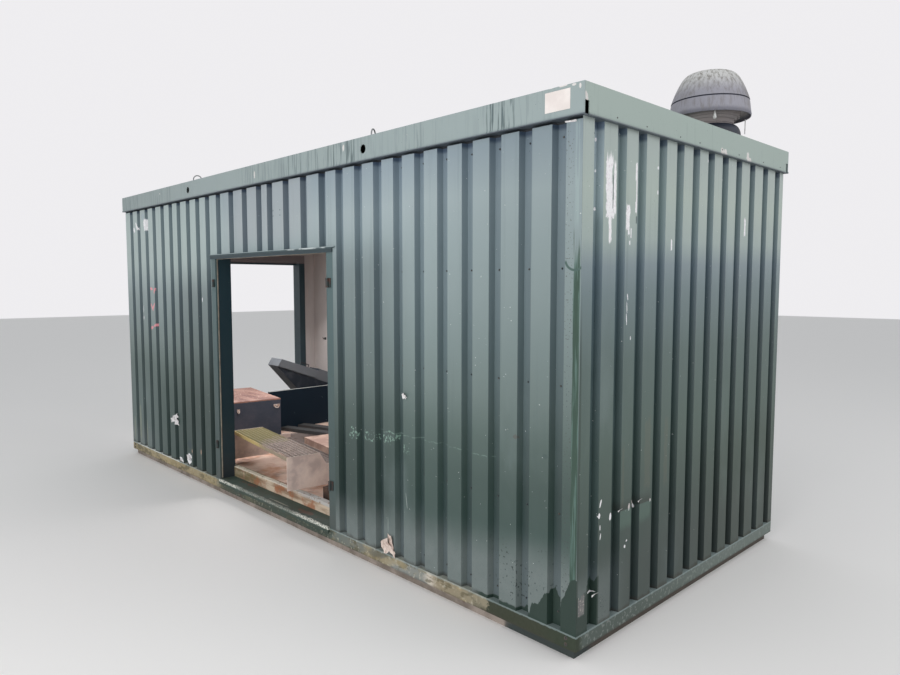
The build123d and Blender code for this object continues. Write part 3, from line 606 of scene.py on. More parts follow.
def base_rail():
    """Base rails: lichen over the long front, dark paint by the corner, speckled grey at the end."""
    c = looks()
    f = Finish("base_rail_paint")
    blot = f.noise(7.0, (0.5, 1, 1), 6.0)
    fine = f.noise(40.0, detail=5.0, shift=4.0)
    front = f.rise(f.y, -1.15, -1.2)
    clump = f.noise(5.0, (1, 1, 1.6), 6.0, shift=9.0)
    along = (f.x + (clump - 0.5) * 0.3 + 3.0) / 6.0
    grown = f.ramp(along, [(0.0, shade(140, 128, 98)), (0.08, shade(166, 152, 120)), (0.2, shade(158, 142, 108)),
                           (0.345, shade(154, 142, 114)), (0.362, shade(66, 76, 66)),
                           (0.647, shade(52, 64, 54)), (0.66, shade(100, 108, 102)),
                           (0.717, shade(116, 116, 106)), (0.742, shade(100, 96, 80)),
                           (0.765, shade(134, 136, 130)), (0.81, shade(128, 131, 125)),
                           (0.822, shade(206, 196, 182)), (0.834, shade(142, 130, 106)),
                           (0.9, shade(138, 130, 108))])
    sunny = f.rise(f.size(f.x), 0.85, 0.95)
    spotted = f.noise(16.0, (0.6, 1, 1.4), 6.0, shift=17.0)
    lichen = f.mix(f.rise(spotted, 0.48, 0.4) * (0.3 + sunny * 0.4), grown, shade(86, 80, 56))
    lichen = f.mix(f.rise(clump, 0.46, 0.38) * 0.5, lichen, shade(72, 74, 60))
    lichen = f.mix(f.rise(blot, 0.52, 0.62) * (0.12 + sunny * 0.33), lichen, c.lichen)
    lichen = f.mix(f.rise(fine, 0.56, 0.66) * (0.3 + sunny * 0.15), lichen, shade(192, 186, 168))
    dark = f.mix(f.rise(f.x, 2.7, 2.95), shade(47, 52, 36), shade(42, 52, 36))
    worn_off = f.rise(f.x + (fine - 0.5) * 0.16, 2.42, 2.39)
    side = f.mix(f.rise(f.y, -0.9, 0.6), shade(78, 88, 82), shade(108, 118, 112))
    side = f.mix(f.rise(fine, 0.52, 0.64) * 0.5, side, shade(142, 148, 142))
    tone = f.mix(front, side, f.mix(worn_off, dark, lichen))
    # Painted highlight along the rail's top edge, stronger on the left; the white crumbs below are worn coat.
    lip = f.rise(f.z + (fine - 0.5) * 0.014, 0.1235, 0.1275)
    tone = f.mix(lip * (0.45 + f.rise(f.x, -1.0, -2.0) * 0.4), tone, shade(150, 166, 166))
    white = lip * f.rise(f.x, -1.3, -1.7) * f.rise(blot, 0.42, 0.5)
    tone = f.mix(white, tone, shade(214, 216, 208))
    rusted = f.rise(f.noise(9.0, detail=6.0, shift=12.0), 0.64, 0.74)
    tone = f.mix(rusted * 0.5, tone, c.rust_dark)
    mud = f.rise(f.z + (fine - 0.5) * 0.03, 0.07, 0.055)
    tone = f.mix(mud * 0.4, tone, c.grime)
    return f.done(tone, 0.6 + fine * 0.3, blot + fine * 0.3, 0.002, 0.5)


def ground_steel():
    """Skids and bearers under the floor: dusty steel, dark near the right corner."""
    c = looks()
    f = Finish("ground_steel")
    caked = f.noise(7.0, detail=7.0)
    dusty = f.mix(f.rise(caked, 0.35, 0.65), shade(158, 146, 136), shade(118, 108, 98))
    tone = f.mix(f.rise(f.x + (caked - 0.5) * 0.3, 2.46, 2.54), dusty, shade(52, 60, 58))
    tone = f.mix(f.rise(f.noise(17.0, detail=5.0, shift=3.0), 0.62, 0.72) * 0.5, tone, c.rust_dark)
    tone = f.mix(f.rise(f.y, -1.1, -1.0), tone, f.mix(caked, shade(60, 54, 48), shade(92, 84, 76)))
    return f.done(tone, 0.8, caked + f.noise(60.0) * 0.3, 0.003, 0.7)


def cream_lining():
    """Cream inner sheets, dusty at the foot, with faint runs; their outer faces carry dark painted shade, for the
    shaded gap under the roof edge.
    """
    c = looks()
    f = Finish("cream_lining")
    dust = f.noise(3.5, (1, 1, 0.4), 5.0)
    tone = f.mix(f.rise(dust, 0.4, 0.75) * 0.35, c.lining, shade(150, 138, 132))
    foot = f.rise(f.z + (f.noise(5.0) - 0.5) * 0.3, 0.75, 0.2)
    tone = f.mix(foot * 0.5, tone, c.grime)
    stains = f.noise(30.0, (1, 1, 0.08), 5.0, shift=5.0)
    tone = f.mix(f.rise(stains, 0.6, 0.75) * 0.25, tone, c.rust_pale)
    # Painted shade: the outer faces show only through the shaded gap under the roof edge.
    outer = f.most(f.rise(f.size(f.y), 1.165, 1.175), f.rise(f.size(f.x), 2.945, 2.955))
    tone = f.mix(outer, tone, shade(40, 44, 48))
    return f.done(tone, 0.5 + dust * 0.2, dust, 0.002, 0.3)


def rusty(name, pale, orange):
    """Rusted steel: dark rust, orange bloom and pale dust; the shares set how much of each."""
    c = looks()
    f = Finish(name)
    scale = f.noise(7.0, detail=8.0, roughness=0.62)
    grit = f.noise(55.0, detail=5.0, shift=8.0)
    tone = f.mix(f.rise(scale, 0.3, 0.56), c.rust_dark, shade(178, 122, 88))
    tone = f.mix(f.rise(f.noise(4.0, detail=7.0, shift=2.0), 0.62 - 0.36 * pale, 0.66) * 0.95, tone,
                 f.mix(grit, c.rust_pale, shade(240, 218, 202)))
    tone = f.mix(f.rise(f.noise(12.0, detail=5.0, shift=14.0), 0.72 - 0.12 * orange, 0.78), tone,
                 shade(190, 112, 60))
    if pale > 0.5:
        # Painted shadow on the deck behind the slab.
        slab_shadow = f.rise(f.y + (scale - 0.5) * 0.3, -0.5, -0.25) * f.rise(f.x + (grit - 0.5) * 0.2, -1.95, -1.8)
        tone = f.mix(slab_shadow * 0.85, tone, shade(34, 34, 38))
    return f.done(tone, 0.68 + grit * 0.3, scale + grit * 0.4, 0.002, 0.6)


def worn_kerb():
    """Sump kerbs: tan streaked steel under a cream band that traffic has worn along the top."""
    c = looks()
    f = Finish("worn_kerb")
    scale = f.noise(9.0, detail=7.0)
    grit = f.noise(60.0, detail=4.0, shift=2.0)
    wash = f.noise(9.0, (0.3, 1, 2.5), 7.0, shift=7.0)
    tone = f.mix(f.rise(wash, 0.36, 0.62), shade(206, 186, 162), shade(136, 106, 82))
    tone = f.mix(f.rise(scale, 0.52, 0.64) * 0.8, tone, shade(158, 94, 56))
    tone = f.mix(f.rise(f.x + (scale - 0.5) * 0.6, -0.25, -0.6) * f.rise(scale, 0.4, 0.5) * 0.6, tone,
                 shade(96, 96, 58))
    wander = (f.noise(12.0, (0.4, 1, 1), 5.0, shift=1.0) - 0.5) * 0.02
    band = f.rise(f.y + wander, -1.043, -1.048)
    high = f.most(f.rise(f.z, 0.222, 0.229) * band, f.rise(f.z + wander * 1.5, 0.206, 0.212) * f.rise(f.x, 0.0, 0.5))
    tone = f.mix(high * 0.9, tone, f.mix(f.rise(f.x, -0.4, 0.4), shade(226, 216, 196), shade(190, 188, 184)))
    tone = f.mix(high * f.rise(f.noise(26.0, detail=4.0, shift=9.0), 0.56, 0.64) * 0.8, tone, shade(140, 110, 84))
    return f.done(tone, 0.6 + grit * 0.3, scale + grit * 0.3, 0.0015, 0.6)


def cowl_plastic():
    """Weathered plastic of the fan cowl: painted light on the crown, runs from the crown, algae on one side, a darker
    rim, painted shade in the groove.
    """
    c = looks()
    f = Finish("cowl_plastic")
    runs = f.noise(52.0, (1, 1, 0.14), 7.0, 0.68)
    clouds = f.noise(7.0, detail=6.0)
    # Painted light: the crown is lighter than the sides, and paler between the runs on top.
    top = f.rise(f.z, 3.19, 3.36)
    tone = f.mix(top, shade(150, 148, 156), shade(196, 195, 190))
    tone = f.mix(f.rise(runs, 0.46, 0.64) * (0.45 + top * 0.4), tone, shade(112, 106, 100))
    tone = f.mix(f.rise(runs, 0.5, 0.36) * top * 0.6, tone, shade(204, 202, 202))
    tone = f.mix(f.rise(clouds, 0.52, 0.72) * 0.45, tone, shade(120, 114, 104))
    side = f.rise(f.x - f.y * 0.7, 1.9, 1.72)
    tone = f.mix(side * f.rise(clouds, 0.4, 0.6) * 0.65, tone, shade(136, 134, 92))
    rim = f.rise(f.z + (runs - 0.5) * 0.05, 3.1, 3.07)
    tone = f.mix(rim * 0.5, tone, shade(66, 66, 80))
    # Painted shade in the groove round the cowl.
    groove = f.rise(f.z, 3.1655, 3.1675) * f.rise(f.z, 3.1765, 3.1745)
    tone = f.mix(groove, tone, shade(40, 42, 56))
    throat = f.rise(f.node("VectorMath", {"operation": "LENGTH"}, {0: f.node(
        "Mapping", {"vector_type": "TEXTURE"},
        {"Vector": f.place, "Location": (2.5975, 0.895, 0), "Scale": (1, 1, FAR)})}, "Value"), 0.262, 0.255)
    tone = f.mix(throat * f.rise(f.z, 3.13, 3.12), tone, f.mix(clouds, shade(140, 134, 136), shade(176, 164, 160)))
    return f.done(tone, 0.62 + clouds * 0.2, clouds + runs * 0.5, 0.0015, 0.5)


def painted_metal(name, tone, second, scale, roughness, metallic=0.0):
    """Plain painted or plated metal with blotches and fine wear."""
    f = Finish(name)
    blot = f.noise(scale, detail=6.0)
    fine = f.noise(scale * 9, detail=4.0, shift=3.0)
    mixed = f.mix(f.rise(blot + (fine - 0.5) * 0.2, 0.4, 0.66), tone, second)
    return f.done(mixed, roughness + fine * 0.15, blot + fine * 0.4, 0.0008, 0.4, metallic=metallic)


def chest_paint():
    """Steel chest: dark blotched sides under a lid gone to pink rust with pale edges."""
    c = looks()
    f = Finish("chest_paint")
    blot = f.noise(5.0, detail=7.0)
    fine = f.noise(48.0, detail=5.0, shift=4.0)
    sides = f.mix(f.rise(blot, 0.4, 0.7), c.chest, shade(64, 66, 76))
    top_rust = f.mix(f.rise(f.noise(6.0, (0.35, 1, 1), 7.0, shift=1.0), 0.36, 0.66),
                     shade(112, 72, 62), shade(164, 126, 112))
    top_rust = f.mix(f.rise(fine, 0.56, 0.7) * 0.7, top_rust, shade(214, 190, 176))
    lid = f.rise(f.z, 0.6365, 0.6375)
    tone = f.mix(lid, sides, top_rust)
    rim = f.rise(f.z + (fine - 0.5) * 0.012, 0.622, 0.628) * f.rise(f.z, 0.6375, 0.6365)
    tone = f.mix(rim * 0.8, tone, shade(156, 112, 92))
    return f.done(tone, 0.55 + fine * 0.3, blot + fine * 0.3, 0.001, 0.5)


def panel_paint():
    """Loose dark panel with dust, chips and a worn top edge."""
    c = looks()
    f = Finish("panel_paint")
    dust = f.noise(4.0, detail=6.0)
    fine = f.noise(34.0, detail=3.0, shift=6.0)
    tone = f.mix(f.rise(dust, 0.4, 0.8) * 0.4, shade(9, 27, 40), shade(20, 38, 50))
    tone = f.mix(f.rise(fine, 0.74, 0.77), tone, shade(170, 176, 174))
    edge = f.rise(f.z + (fine - 0.5) * 0.004, 0.6495, 0.6515)
    tone = f.mix(edge * 0.8, tone, shade(150, 152, 148))
    f.shader.inputs["Specular IOR Level"].default_value = 0.25
    return f.done(tone, 0.5 + dust * 0.3, dust, 0.0008, 0.3)


def case_paint():
    """Leaning case: dark sides, with painted light making the faces that look up and the top band of the lid face a
    lighter grey.
    """
    f = Finish("case_paint")
    dust = f.noise(9.0, detail=6.0)
    # Painted light: faces that look up, and the top band of the lid face, lighter than the sides.
    normal = f.node("NewGeometry", {}, {}, "Normal")
    facing = f.node("SeparateXYZ", {}, {0: normal}, "Z")
    forward = f.node("SeparateXYZ", {}, {0: normal}, "X")
    lit = f.most(f.rise(facing, 0.3, 0.6), f.rise(forward, 0.5, 0.8) * f.rise(
        f.z + f.y * 0.37, 0.985, 0.995))
    tone = f.mix(lit, shade(27, 35, 45), shade(104, 108, 112))
    tone = f.mix(f.rise(dust, 0.45, 0.75) * 0.2, tone, shade(116, 116, 118))
    return f.done(tone, 0.5 + dust * 0.2, dust, 0.0008, 0.3)


def dusty_step():
    """Step unit sides: plated sheet under pink grey dust, with darker patches and fine specks."""
    c = looks()
    f = Finish("dusty_step")
    wash = f.noise(8.0, detail=7.0)
    fine = f.noise(60.0, detail=5.0, shift=3.0)
    tone = f.mix(f.rise(wash, 0.3, 0.7), shade(212, 190, 180), shade(240, 220, 206))
    tone = f.mix(f.rise(wash, 0.46, 0.38) * 0.15, tone, shade(150, 136, 132))
    tone = f.mix(f.rise(fine, 0.6, 0.75) * 0.3, tone, shade(206, 192, 180))
    return f.done(tone, 0.6 + fine * 0.2, wash + fine * 0.3, 0.001, 0.5, metallic=0.15)


def mesh_steel():
    """Tread mesh: dusty plated bars with moss over the left half of the upper tread; painted shade darkens the lower
    tread.
    """
    c = looks()
    f = Finish("mesh_steel")
    fine = f.noise(50.0, detail=5.0)
    tone = f.mix(f.rise(fine, 0.35, 0.7), shade(138, 122, 112), shade(176, 158, 146))
    growth = f.rise(f.x + f.y * 0.3 + (f.noise(6.0, detail=6.0) - 0.5) * 0.5, -0.62, -0.92)
    high = f.rise(f.z, 0.4, 0.45)
    lip = f.rise(f.y + f.x * 0.1405, -1.108, -1.116) * high
    tone = f.mix(growth * high * 0.85, tone, f.mix(fine, shade(150, 132, 74), shade(112, 110, 52)))
    # Painted shade: the lower tread, under the upper one, is darker.
    tone = f.mix(f.rise(f.z, 0.42, 0.36) * 0.6, tone, shade(74, 66, 66))
    tone = f.mix(lip * 0.8, tone, f.mix(growth, shade(150, 136, 112), shade(206, 180, 118)))
    return f.done(tone, 0.65, fine, 0.001, 0.6, metallic=0.1)


def grey_wood():
    """Loose boards: grey grain along X, with the pink grey face of the slab that lies among them."""
    c = looks()
    f = Finish("grey_wood")
    grain = f.noise(60.0, (0.06, 1, 1), 6.0)
    dirt = f.noise(6.0, detail=5.0, shift=4.0)
    slab = f.rise(f.x, -1.42, -1.3) * f.rise(f.y, -0.5, -0.35)
    wood = f.mix(grain, shade(34, 38, 42), c.board)
    stone = f.mix(f.rise(dirt, 0.4, 0.65), shade(154, 126, 114), shade(186, 158, 142))
    tone = f.mix(slab, wood, stone)
    return f.done(tone, 0.75 + grain * 0.2, grain, 0.002, 0.6)


def plain_stuff(name, tone, second, scale, roughness, depth=0.0004):
    """Rubber, plastic, foam and cloth with a little variation."""
    f = Finish(name)
    blot = f.noise(scale, detail=5.0)
    return f.done(f.mix(f.rise(blot, 0.35, 0.7), tone, second), roughness + blot * 0.15, blot, depth, 0.4)


FINISHES = {
    "front_sheet": front_sheet,
    "right_sheet": lambda: end_sheet("right_sheet_paint", True),
    "plain_sheet": lambda: end_sheet("plain_sheet_paint", False),
    "long_fascia": lambda: roof_edge("long_fascia_paint", 0),
    "end_fascia": lambda: roof_edge("end_fascia_paint", 1),
    "door_frame": dark_frame,
    "door_head": head_paint,
    "threshold": threshold_paint,
    "base_rail": base_rail,
    "ground_steel": ground_steel,
    "lining": cream_lining,
    "deck_rust": lambda: rusty("deck_rust", 1.0, 1.0),
    "sump_rust": lambda: rusty("sump_rust", 0.2, 0.4),
    "kerb": worn_kerb,
    "cowl": cowl_plastic,
    "neck": lambda: painted_metal("fan_neck_coat", looks().cowl_bell, shade(40, 46, 60), 9.0, 0.5),
    "zinc": lambda: painted_metal("dull_zinc", looks().zinc, shade(104, 106, 108), 16.0, 0.45, 0.6),
    "screw": lambda: painted_metal("screw_steel", shade(58, 66, 70), shade(92, 84, 76), 60.0, 0.45, 0.3),
    "knuckle": lambda: painted_metal("hinge_steel", shade(40, 52, 52), shade(70, 46, 38), 26.0, 0.55),
    "chest": chest_paint,
    "panel": panel_paint,
    "case": case_paint,
    "step": dusty_step,
    "mesh": mesh_steel,
    "wood": grey_wood,
    "block": lambda: painted_metal("stained_block", shade(52, 38, 32), shade(84, 62, 48), 22.0, 0.8),
    "rubber": lambda: plain_stuff("black_rubber", looks().rubber, shade(44, 44, 46), 20.0, 0.55),
    "seal": lambda: plain_stuff("cream_seal", looks().seal, shade(120, 112, 102), 14.0, 0.7),
    "plate": lambda: plain_stuff("blank_plate", looks().plate, shade(236, 228, 222), 9.0, 0.5, 0.0001),
    "white": lambda: plain_stuff("white_plastic", shade(226, 226, 224), shade(188, 184, 178), 40.0, 0.45),
    "moss": lambda: plain_stuff("moss", looks().moss, shade(96, 104, 40), 45.0, 0.9, 0.004),
    "scrap": lambda: plain_stuff("torn_coat", shade(236, 234, 232), shade(204, 196, 196), 45.0, 0.6, 0.001),
    "beige_scrap": lambda: plain_stuff("torn_foot", shade(228, 210, 198), shade(182, 160, 148), 40.0, 0.7, 0.001),
    "dark_steel": lambda: plain_stuff("dark_steel", shade(22, 26, 30), shade(46, 44, 44), 40.0, 0.5, 0.0003),
    "pale_rust": lambda: painted_metal("pale_rust", shade(208, 196, 186), shade(156, 128, 112), 40.0, 0.6, 0.1),
}

NODE_FINISHES = {
    "front_sheet": ("front_cladding_left", "front_cladding_over_door", "front_cladding_right"),
    "right_sheet": ("right_end_cladding",),
    "plain_sheet": ("back_cladding", "left_end_cladding_sides", "left_end_cladding_over_door",
                    "roof_sheet"),
    "long_fascia": ("fascia_front", "fascia_back"),
    "end_fascia": ("fascia_left", "fascia_right"),
    "door_frame": ("front_door_jambs", "end_door_jambs", "corner_posts"),
    "door_head": ("front_door_head", "end_door_head"),
    "threshold": ("front_threshold", "end_threshold"),
    "base_rail": ("base_rails",),
    "ground_steel": ("skid_beams", "cross_bearers"),
    "lining": ("back_lining", "right_end_lining", "front_lining_sides", "front_lining_over_door",
               "left_end_lining_sides", "left_end_lining_over_door", "ceiling_panel"),
    "deck_rust": ("floor_deck",),
    "sump_rust": ("sump_floor", "deck_bearers"),
    "kerb": ("sump_kerbs",),
    "zinc": ("fan_curb", "roof_joists"),
    "knuckle": ("hinge_knuckles",),
    "chest": ("steel_chest",),
    "panel": ("loose_panel",),
    "case": ("leaning_case",),
    "step": ("step_sides",),
    "wood": ("loose_boards",),
}

_made = {}


def finish(name):
    """The material of that name, made on its first use."""
    if name not in _made:
        _made[name] = FINISHES[name]()
    return _made[name]


def keep(name, bm, finish_name, replaces=()):
    """Turns a bmesh into a piece of the container with its finish and slot."""
    bmesh.ops.remove_doubles(bm, verts=bm.verts, dist=0.00005)
    bmesh.ops.recalc_face_normals(bm, faces=bm.faces)
    mesh = bpy.data.meshes.new(name)
    bm.to_mesh(mesh)
    bm.free()
    piece = bpy.data.objects.new(name, mesh)
    bpy.context.scene.collection.objects.link(piece)
    mesh.materials.append(finish(finish_name))
    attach(piece, "root")
    if replaces:
        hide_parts(*replaces)
    return piece


def smooth(piece, angle=35.0):
    """Smooth shading, with edges sharper than the angle kept."""
    piece.data.polygons.foreach_set("use_smooth", [True] * len(piece.data.polygons))
    piece.data.set_sharp_from_angle(angle=math.radians(angle))
    return piece


def slab(bm, low, high, bevel=0.0, turn=None):
    """A block between two corners, with bevelled edges, turned by a matrix if given."""
    middle = (Vector(low) + Vector(high)) / 2
    size = Vector(high) - Vector(low)
    place = (turn or Matrix()) @ Matrix.Translation(middle) @ Matrix.Diagonal((*size, 1))
    made = bmesh.ops.create_cube(bm, size=1.0, matrix=place)["verts"]
    if bevel:
        edges = list({edge for vert in made for edge in vert.link_edges})
        bmesh.ops.bevel(bm, geom=edges, offset=bevel, affect="EDGES", segments=2, profile=0.5, material=-1)
    return made


def rod(bm, start, end, radius, end_radius=None, sides=10):
    """A round bar or cone between two points."""
    start, end = Vector(start), Vector(end)
    along = end - start
    turn = Vector((0, 0, 1)).rotation_difference(along).to_matrix().to_4x4()
    bmesh.ops.create_cone(bm, cap_ends=True, segments=sides, radius1=radius,
                          radius2=radius if end_radius is None else end_radius, depth=along.length,
                          matrix=Matrix.Translation((start + end) / 2) @ turn)


def turned(bm, outline, centre, steps):
    """Spins an outline of radius and height round a vertical axis."""
    verts = [bm.verts.new((centre[0] + r, centre[1], z)) for r, z in outline]
    edges = [bm.edges.new(pair) for pair in zip(verts, verts[1:])]
    bmesh.ops.spin(bm, geom=verts + edges, cent=(centre[0], centre[1], 0), axis=(0, 0, 1),
                   angle=math.tau, steps=steps, use_merge=True, use_duplicate=False)


def rounded(points, steps):
    """A smooth line through a few points, for outlines."""
    ends = [points[0], *points, points[-1]]
    line = []
    for before, start, end, after in zip(ends, ends[1:], ends[2:], ends[3:]):
        for i in range(steps):
            t = i / steps
            line.append(tuple(0.5 * (2 * b + (c - a) * t + (2 * a - 5 * b + 4 * c - d) * t * t
                                     + (3 * b - a - 3 * c + d) * t ** 3)
                              for a, b, c, d in zip(before, start, end, after)))
    return [*line, points[-1]]


def screw_head(bm, place, outward, radius, height):
    """A washer and a hexagonal head on a face."""
    place, outward = Vector(place), Vector(outward)
    rod(bm, place - outward * 0.001, place + outward * height * 0.35, radius, radius * 0.82, 12)
    rod(bm, place + outward * height * 0.3, place + outward * height, radius * 0.56, radius * 0.5, 6)


def valley_middles(node, axis, depth):
    """Middles of a cladding sheet's valley floors along an axis, read from the sheet itself."""
    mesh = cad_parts[node].data
    across = 1 - axis
    low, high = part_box(node)
    crest = low[across] if abs(low[across]) > abs(high[across]) else high[across]
    places = sorted({round(v.co[axis], 3) for v in mesh.vertices
                     if abs(abs(crest - v.co[across]) - depth) < 0.0006})
    return [(a + b) / 2 for a, b in zip(places[::2], places[1::2])]


class CONTAINER_OT_stage(bpy.types.Operator):
    """Sets the camera, the soft light and the pale floor"""

    bl_idname = "container.stage"
    bl_label = "Stage"

    # Name, place, target, watts, width and height
    lights = (("sky_light", (1.5, -7.0, 8.0), (0.5, 0.0, 1.2), 130.0, 9.0, 6.0),
              ("side_light", (9.0, 1.0, 6.5), (0.5, 0.0, 1.2), 195.0, 7.0, 5.0),
              ("front_light", (3.4, -8.0, 2.2), (-0.4, 0.0, 1.0), 205.0, 5.0, 2.6),
              ("room_light", (-0.9, -0.3, 1.75), (-1.3, 0.2, 0.3), 24.0, 1.2, 0.6),
              ("end_light", (-2.4, 0.0, 1.6), (-1.6, 0.0, 0.3), 14.0, 1.4, 0.5))

    def execute(self, context):
        scene = context.scene
        scene.view_settings.view_transform = "Standard"
        camera = bpy.data.objects.new("camera", bpy.data.cameras.new("camera"))
        camera.data.lens = 27.5
        camera.data.sensor_width = 36.0
        camera.location = (4.931, -3.948, 1.877)
        camera.rotation_euler = (math.radians(90) - 0.0762, 0.0, 0.8028)
        scene.collection.objects.link(camera)
        scene.camera = camera

        for name, place, target, energy, width, height in self.lights:
            light = bpy.data.lights.new(name, "AREA")
            light.shape = "RECTANGLE"
            light.size = width
            light.size_y = height
            light.energy = energy
            light.color = (0.98, 0.98, 1.0)
            lamp = bpy.data.objects.new(name, light)
            lamp.location = place
            lamp.rotation_euler = (Vector(target) - Vector(place)).to_track_quat("-Z", "Y").to_euler()
            lamp.visible_camera = False
            scene.collection.objects.link(lamp)

        world = bpy.data.worlds.new("pale_sky")
        world.use_nodes = True
        tree = world.node_tree
        tree.nodes.clear()
        output = tree.nodes.new("ShaderNodeOutputWorld")
        blend = tree.nodes.new("ShaderNodeMixShader")
        light_path = tree.nodes.new("ShaderNodeLightPath")
        seen = tree.nodes.new("ShaderNodeMath")
        seen.operation = "MAXIMUM"
        lit = tree.nodes.new("ShaderNodeBackground")
        lit.inputs["Color"].default_value = (0.9, 0.95, 1.0, 1.0)
        lit.inputs["Strength"].default_value = 0.6
        shown = tree.nodes.new("ShaderNodeBackground")
        shown.inputs["Color"].default_value = (0.86, 0.85, 0.87, 1.0)
        shown.inputs["Strength"].default_value = 1.0
        both = tree.nodes.new("ShaderNodeMath")
        both.operation = "MAXIMUM"
        tree.links.new(light_path.outputs["Is Camera Ray"], seen.inputs[0])
        tree.links.new(light_path.outputs["Is Transmission Ray"], seen.inputs[1])
        tree.links.new(seen.outputs[0], both.inputs[0])
        tree.links.new(light_path.outputs["Is Glossy Ray"], both.inputs[1])
        tree.links.new(both.outputs[0], blend.inputs[0])
        tree.links.new(lit.outputs[0], blend.inputs[1])
        tree.links.new(shown.outputs[0], blend.inputs[2])
        tree.links.new(blend.outputs[0], output.inputs[0])
        scene.world = world

        bm = bmesh.new()
        bmesh.ops.create_grid(bm, x_segments=1, y_segments=1, size=40.0)
        mesh = bpy.data.meshes.new("floor")
        bm.to_mesh(mesh)
        bm.free()
        floor = bpy.data.objects.new("floor", mesh)
        scene.collection.objects.link(floor)
        f = Finish("pale_floor")
        mesh.materials.append(f.done(looks().floor, 0.9))
        return {"FINISHED"}


class CONTAINER_OT_dress(bpy.types.Operator):
    """Gives every fixed node of the container its finish"""

    bl_idname = "container.dress"
    bl_label = "Finishes"

    def execute(self, context):
        for finish_name, nodes in NODE_FINISHES.items():
            for node in nodes:
                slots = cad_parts[node].data.materials
                slots.clear()
                slots.append(finish(finish_name))
        return {"FINISHED"}


class CONTAINER_OT_screws(bpy.types.Operator):
    """Puts the cladding screws in the valleys and along the roof edge"""

    bl_idname = "container.screws"
    bl_label = "Screws"

    rows = (2.594, 1.958, 1.373, 0.72, 0.21)

    def execute(self, context):
        size = sizes()
        walls = (("front_cladding_left", 0, self.rows), ("front_cladding_right", 0, self.rows),
                 ("front_cladding_over_door", 0, self.rows[:1]), ("back_cladding", 0, self.rows),
                 ("right_end_cladding", 1, self.rows), ("left_end_cladding_sides", 1, self.rows),
                 ("left_end_cladding_over_door", 1, self.rows[:1]))
        bm = bmesh.new()
        for node, axis, rows in walls:
            low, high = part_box(node)
            across = 1 - axis
            out = -1 if low[across] + high[across] < 0 else 1
            face = (low[across] if out < 0 else high[across]) - out * size.valley_depth
            outward = Vector((0, out, 0)) if axis == 0 else Vector((out, 0, 0))
            for middle in valley_middles(node, axis, size.valley_depth):
                for z in rows:
                    place = (middle, face, z) if axis == 0 else (face, middle, z)
                    screw_head(bm, place, outward, size.screw_radius, size.screw_height)
        smooth(keep("cladding_screws", bm, "screw"))
        return {"FINISHED"}


class CONTAINER_OT_roof_edge(bpy.types.Operator):
    """Adds the blank plate and the screws of the roof edge"""

    bl_idname = "container.roof_edge"
    bl_label = "Roof edge fittings"

    plate_from_end = 0.083
    plate_drop = 0.018
    hem_proud = 0.0025
    end_screws = ((-0.965, 2.695), (-0.687, 2.695), (-0.33, 2.695), (-0.1, 2.695), (0.19, 2.695),
                  (0.428, 2.695), (0.806, 2.695), (1.095, 2.695))

    def execute(self, context):
        size = sizes()
        low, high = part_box("fascia_front")
        web = low.y + self.hem_proud
        right = high.x - self.plate_from_end
        top = high.z - self.plate_drop
        bm = bmesh.new()
        slab(bm, (right - size.plate_width, web - 0.0016, top - size.plate_height),
             (right, web + 0.001, top), 0.0005)
        keep("blank_plate", bm, "plate")
        bm = bmesh.new()
        for y, z in self.end_screws:
            screw_head(bm, (high.x - self.hem_proud, y, z), (1, 0, 0), 0.005, 0.0022)
        smooth(keep("edge_screws", bm, "screw"))
        return {"FINISHED"}


class CONTAINER_OT_doorway(bpy.types.Operator):
    """Adds the seals and the head flashing of the front doorway"""

    bl_idname = "container.doorway"
    bl_label = "Doorway trim"

    seal_depth = 0.014
    seal_stand = 0.004

    def execute(self, context):
        size = sizes()
        low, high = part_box("front_door_jambs")
        head_low, head_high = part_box("front_door_head")
        opening_left = -0.8585
        opening_right = 0.8625
        front = low.y + self.seal_depth
        bm = bmesh.new()
        for x0, x1 in ((opening_left - 0.0005, opening_left + self.seal_stand),
                       (opening_right - self.seal_stand, opening_right + 0.0005)):
            slab(bm, (x0, front, 0.15), (x1, front + size.seal_width, high.z - 0.002), 0.0012)
        slab(bm, (opening_left, front + 0.002, high.z - self.seal_stand),
             (opening_right, front + size.seal_width, high.z + 0.0005), 0.0012)
        smooth(keep("door_seals", bm, "seal"))

        bm = bmesh.new()
        lip = head_low.y - 0.002
        slab(bm, (head_low.x - 0.004, lip, 2.1405), (head_high.x + 0.03, lip + 0.016, 2.1435), 0.0008)
        slab(bm, (head_low.x - 0.004, lip, 2.133), (head_high.x + 0.03, lip + 0.0025, 2.1425), 0.0008)
        keep("head_flashing", bm, "door_head")

        return {"FINISHED"}


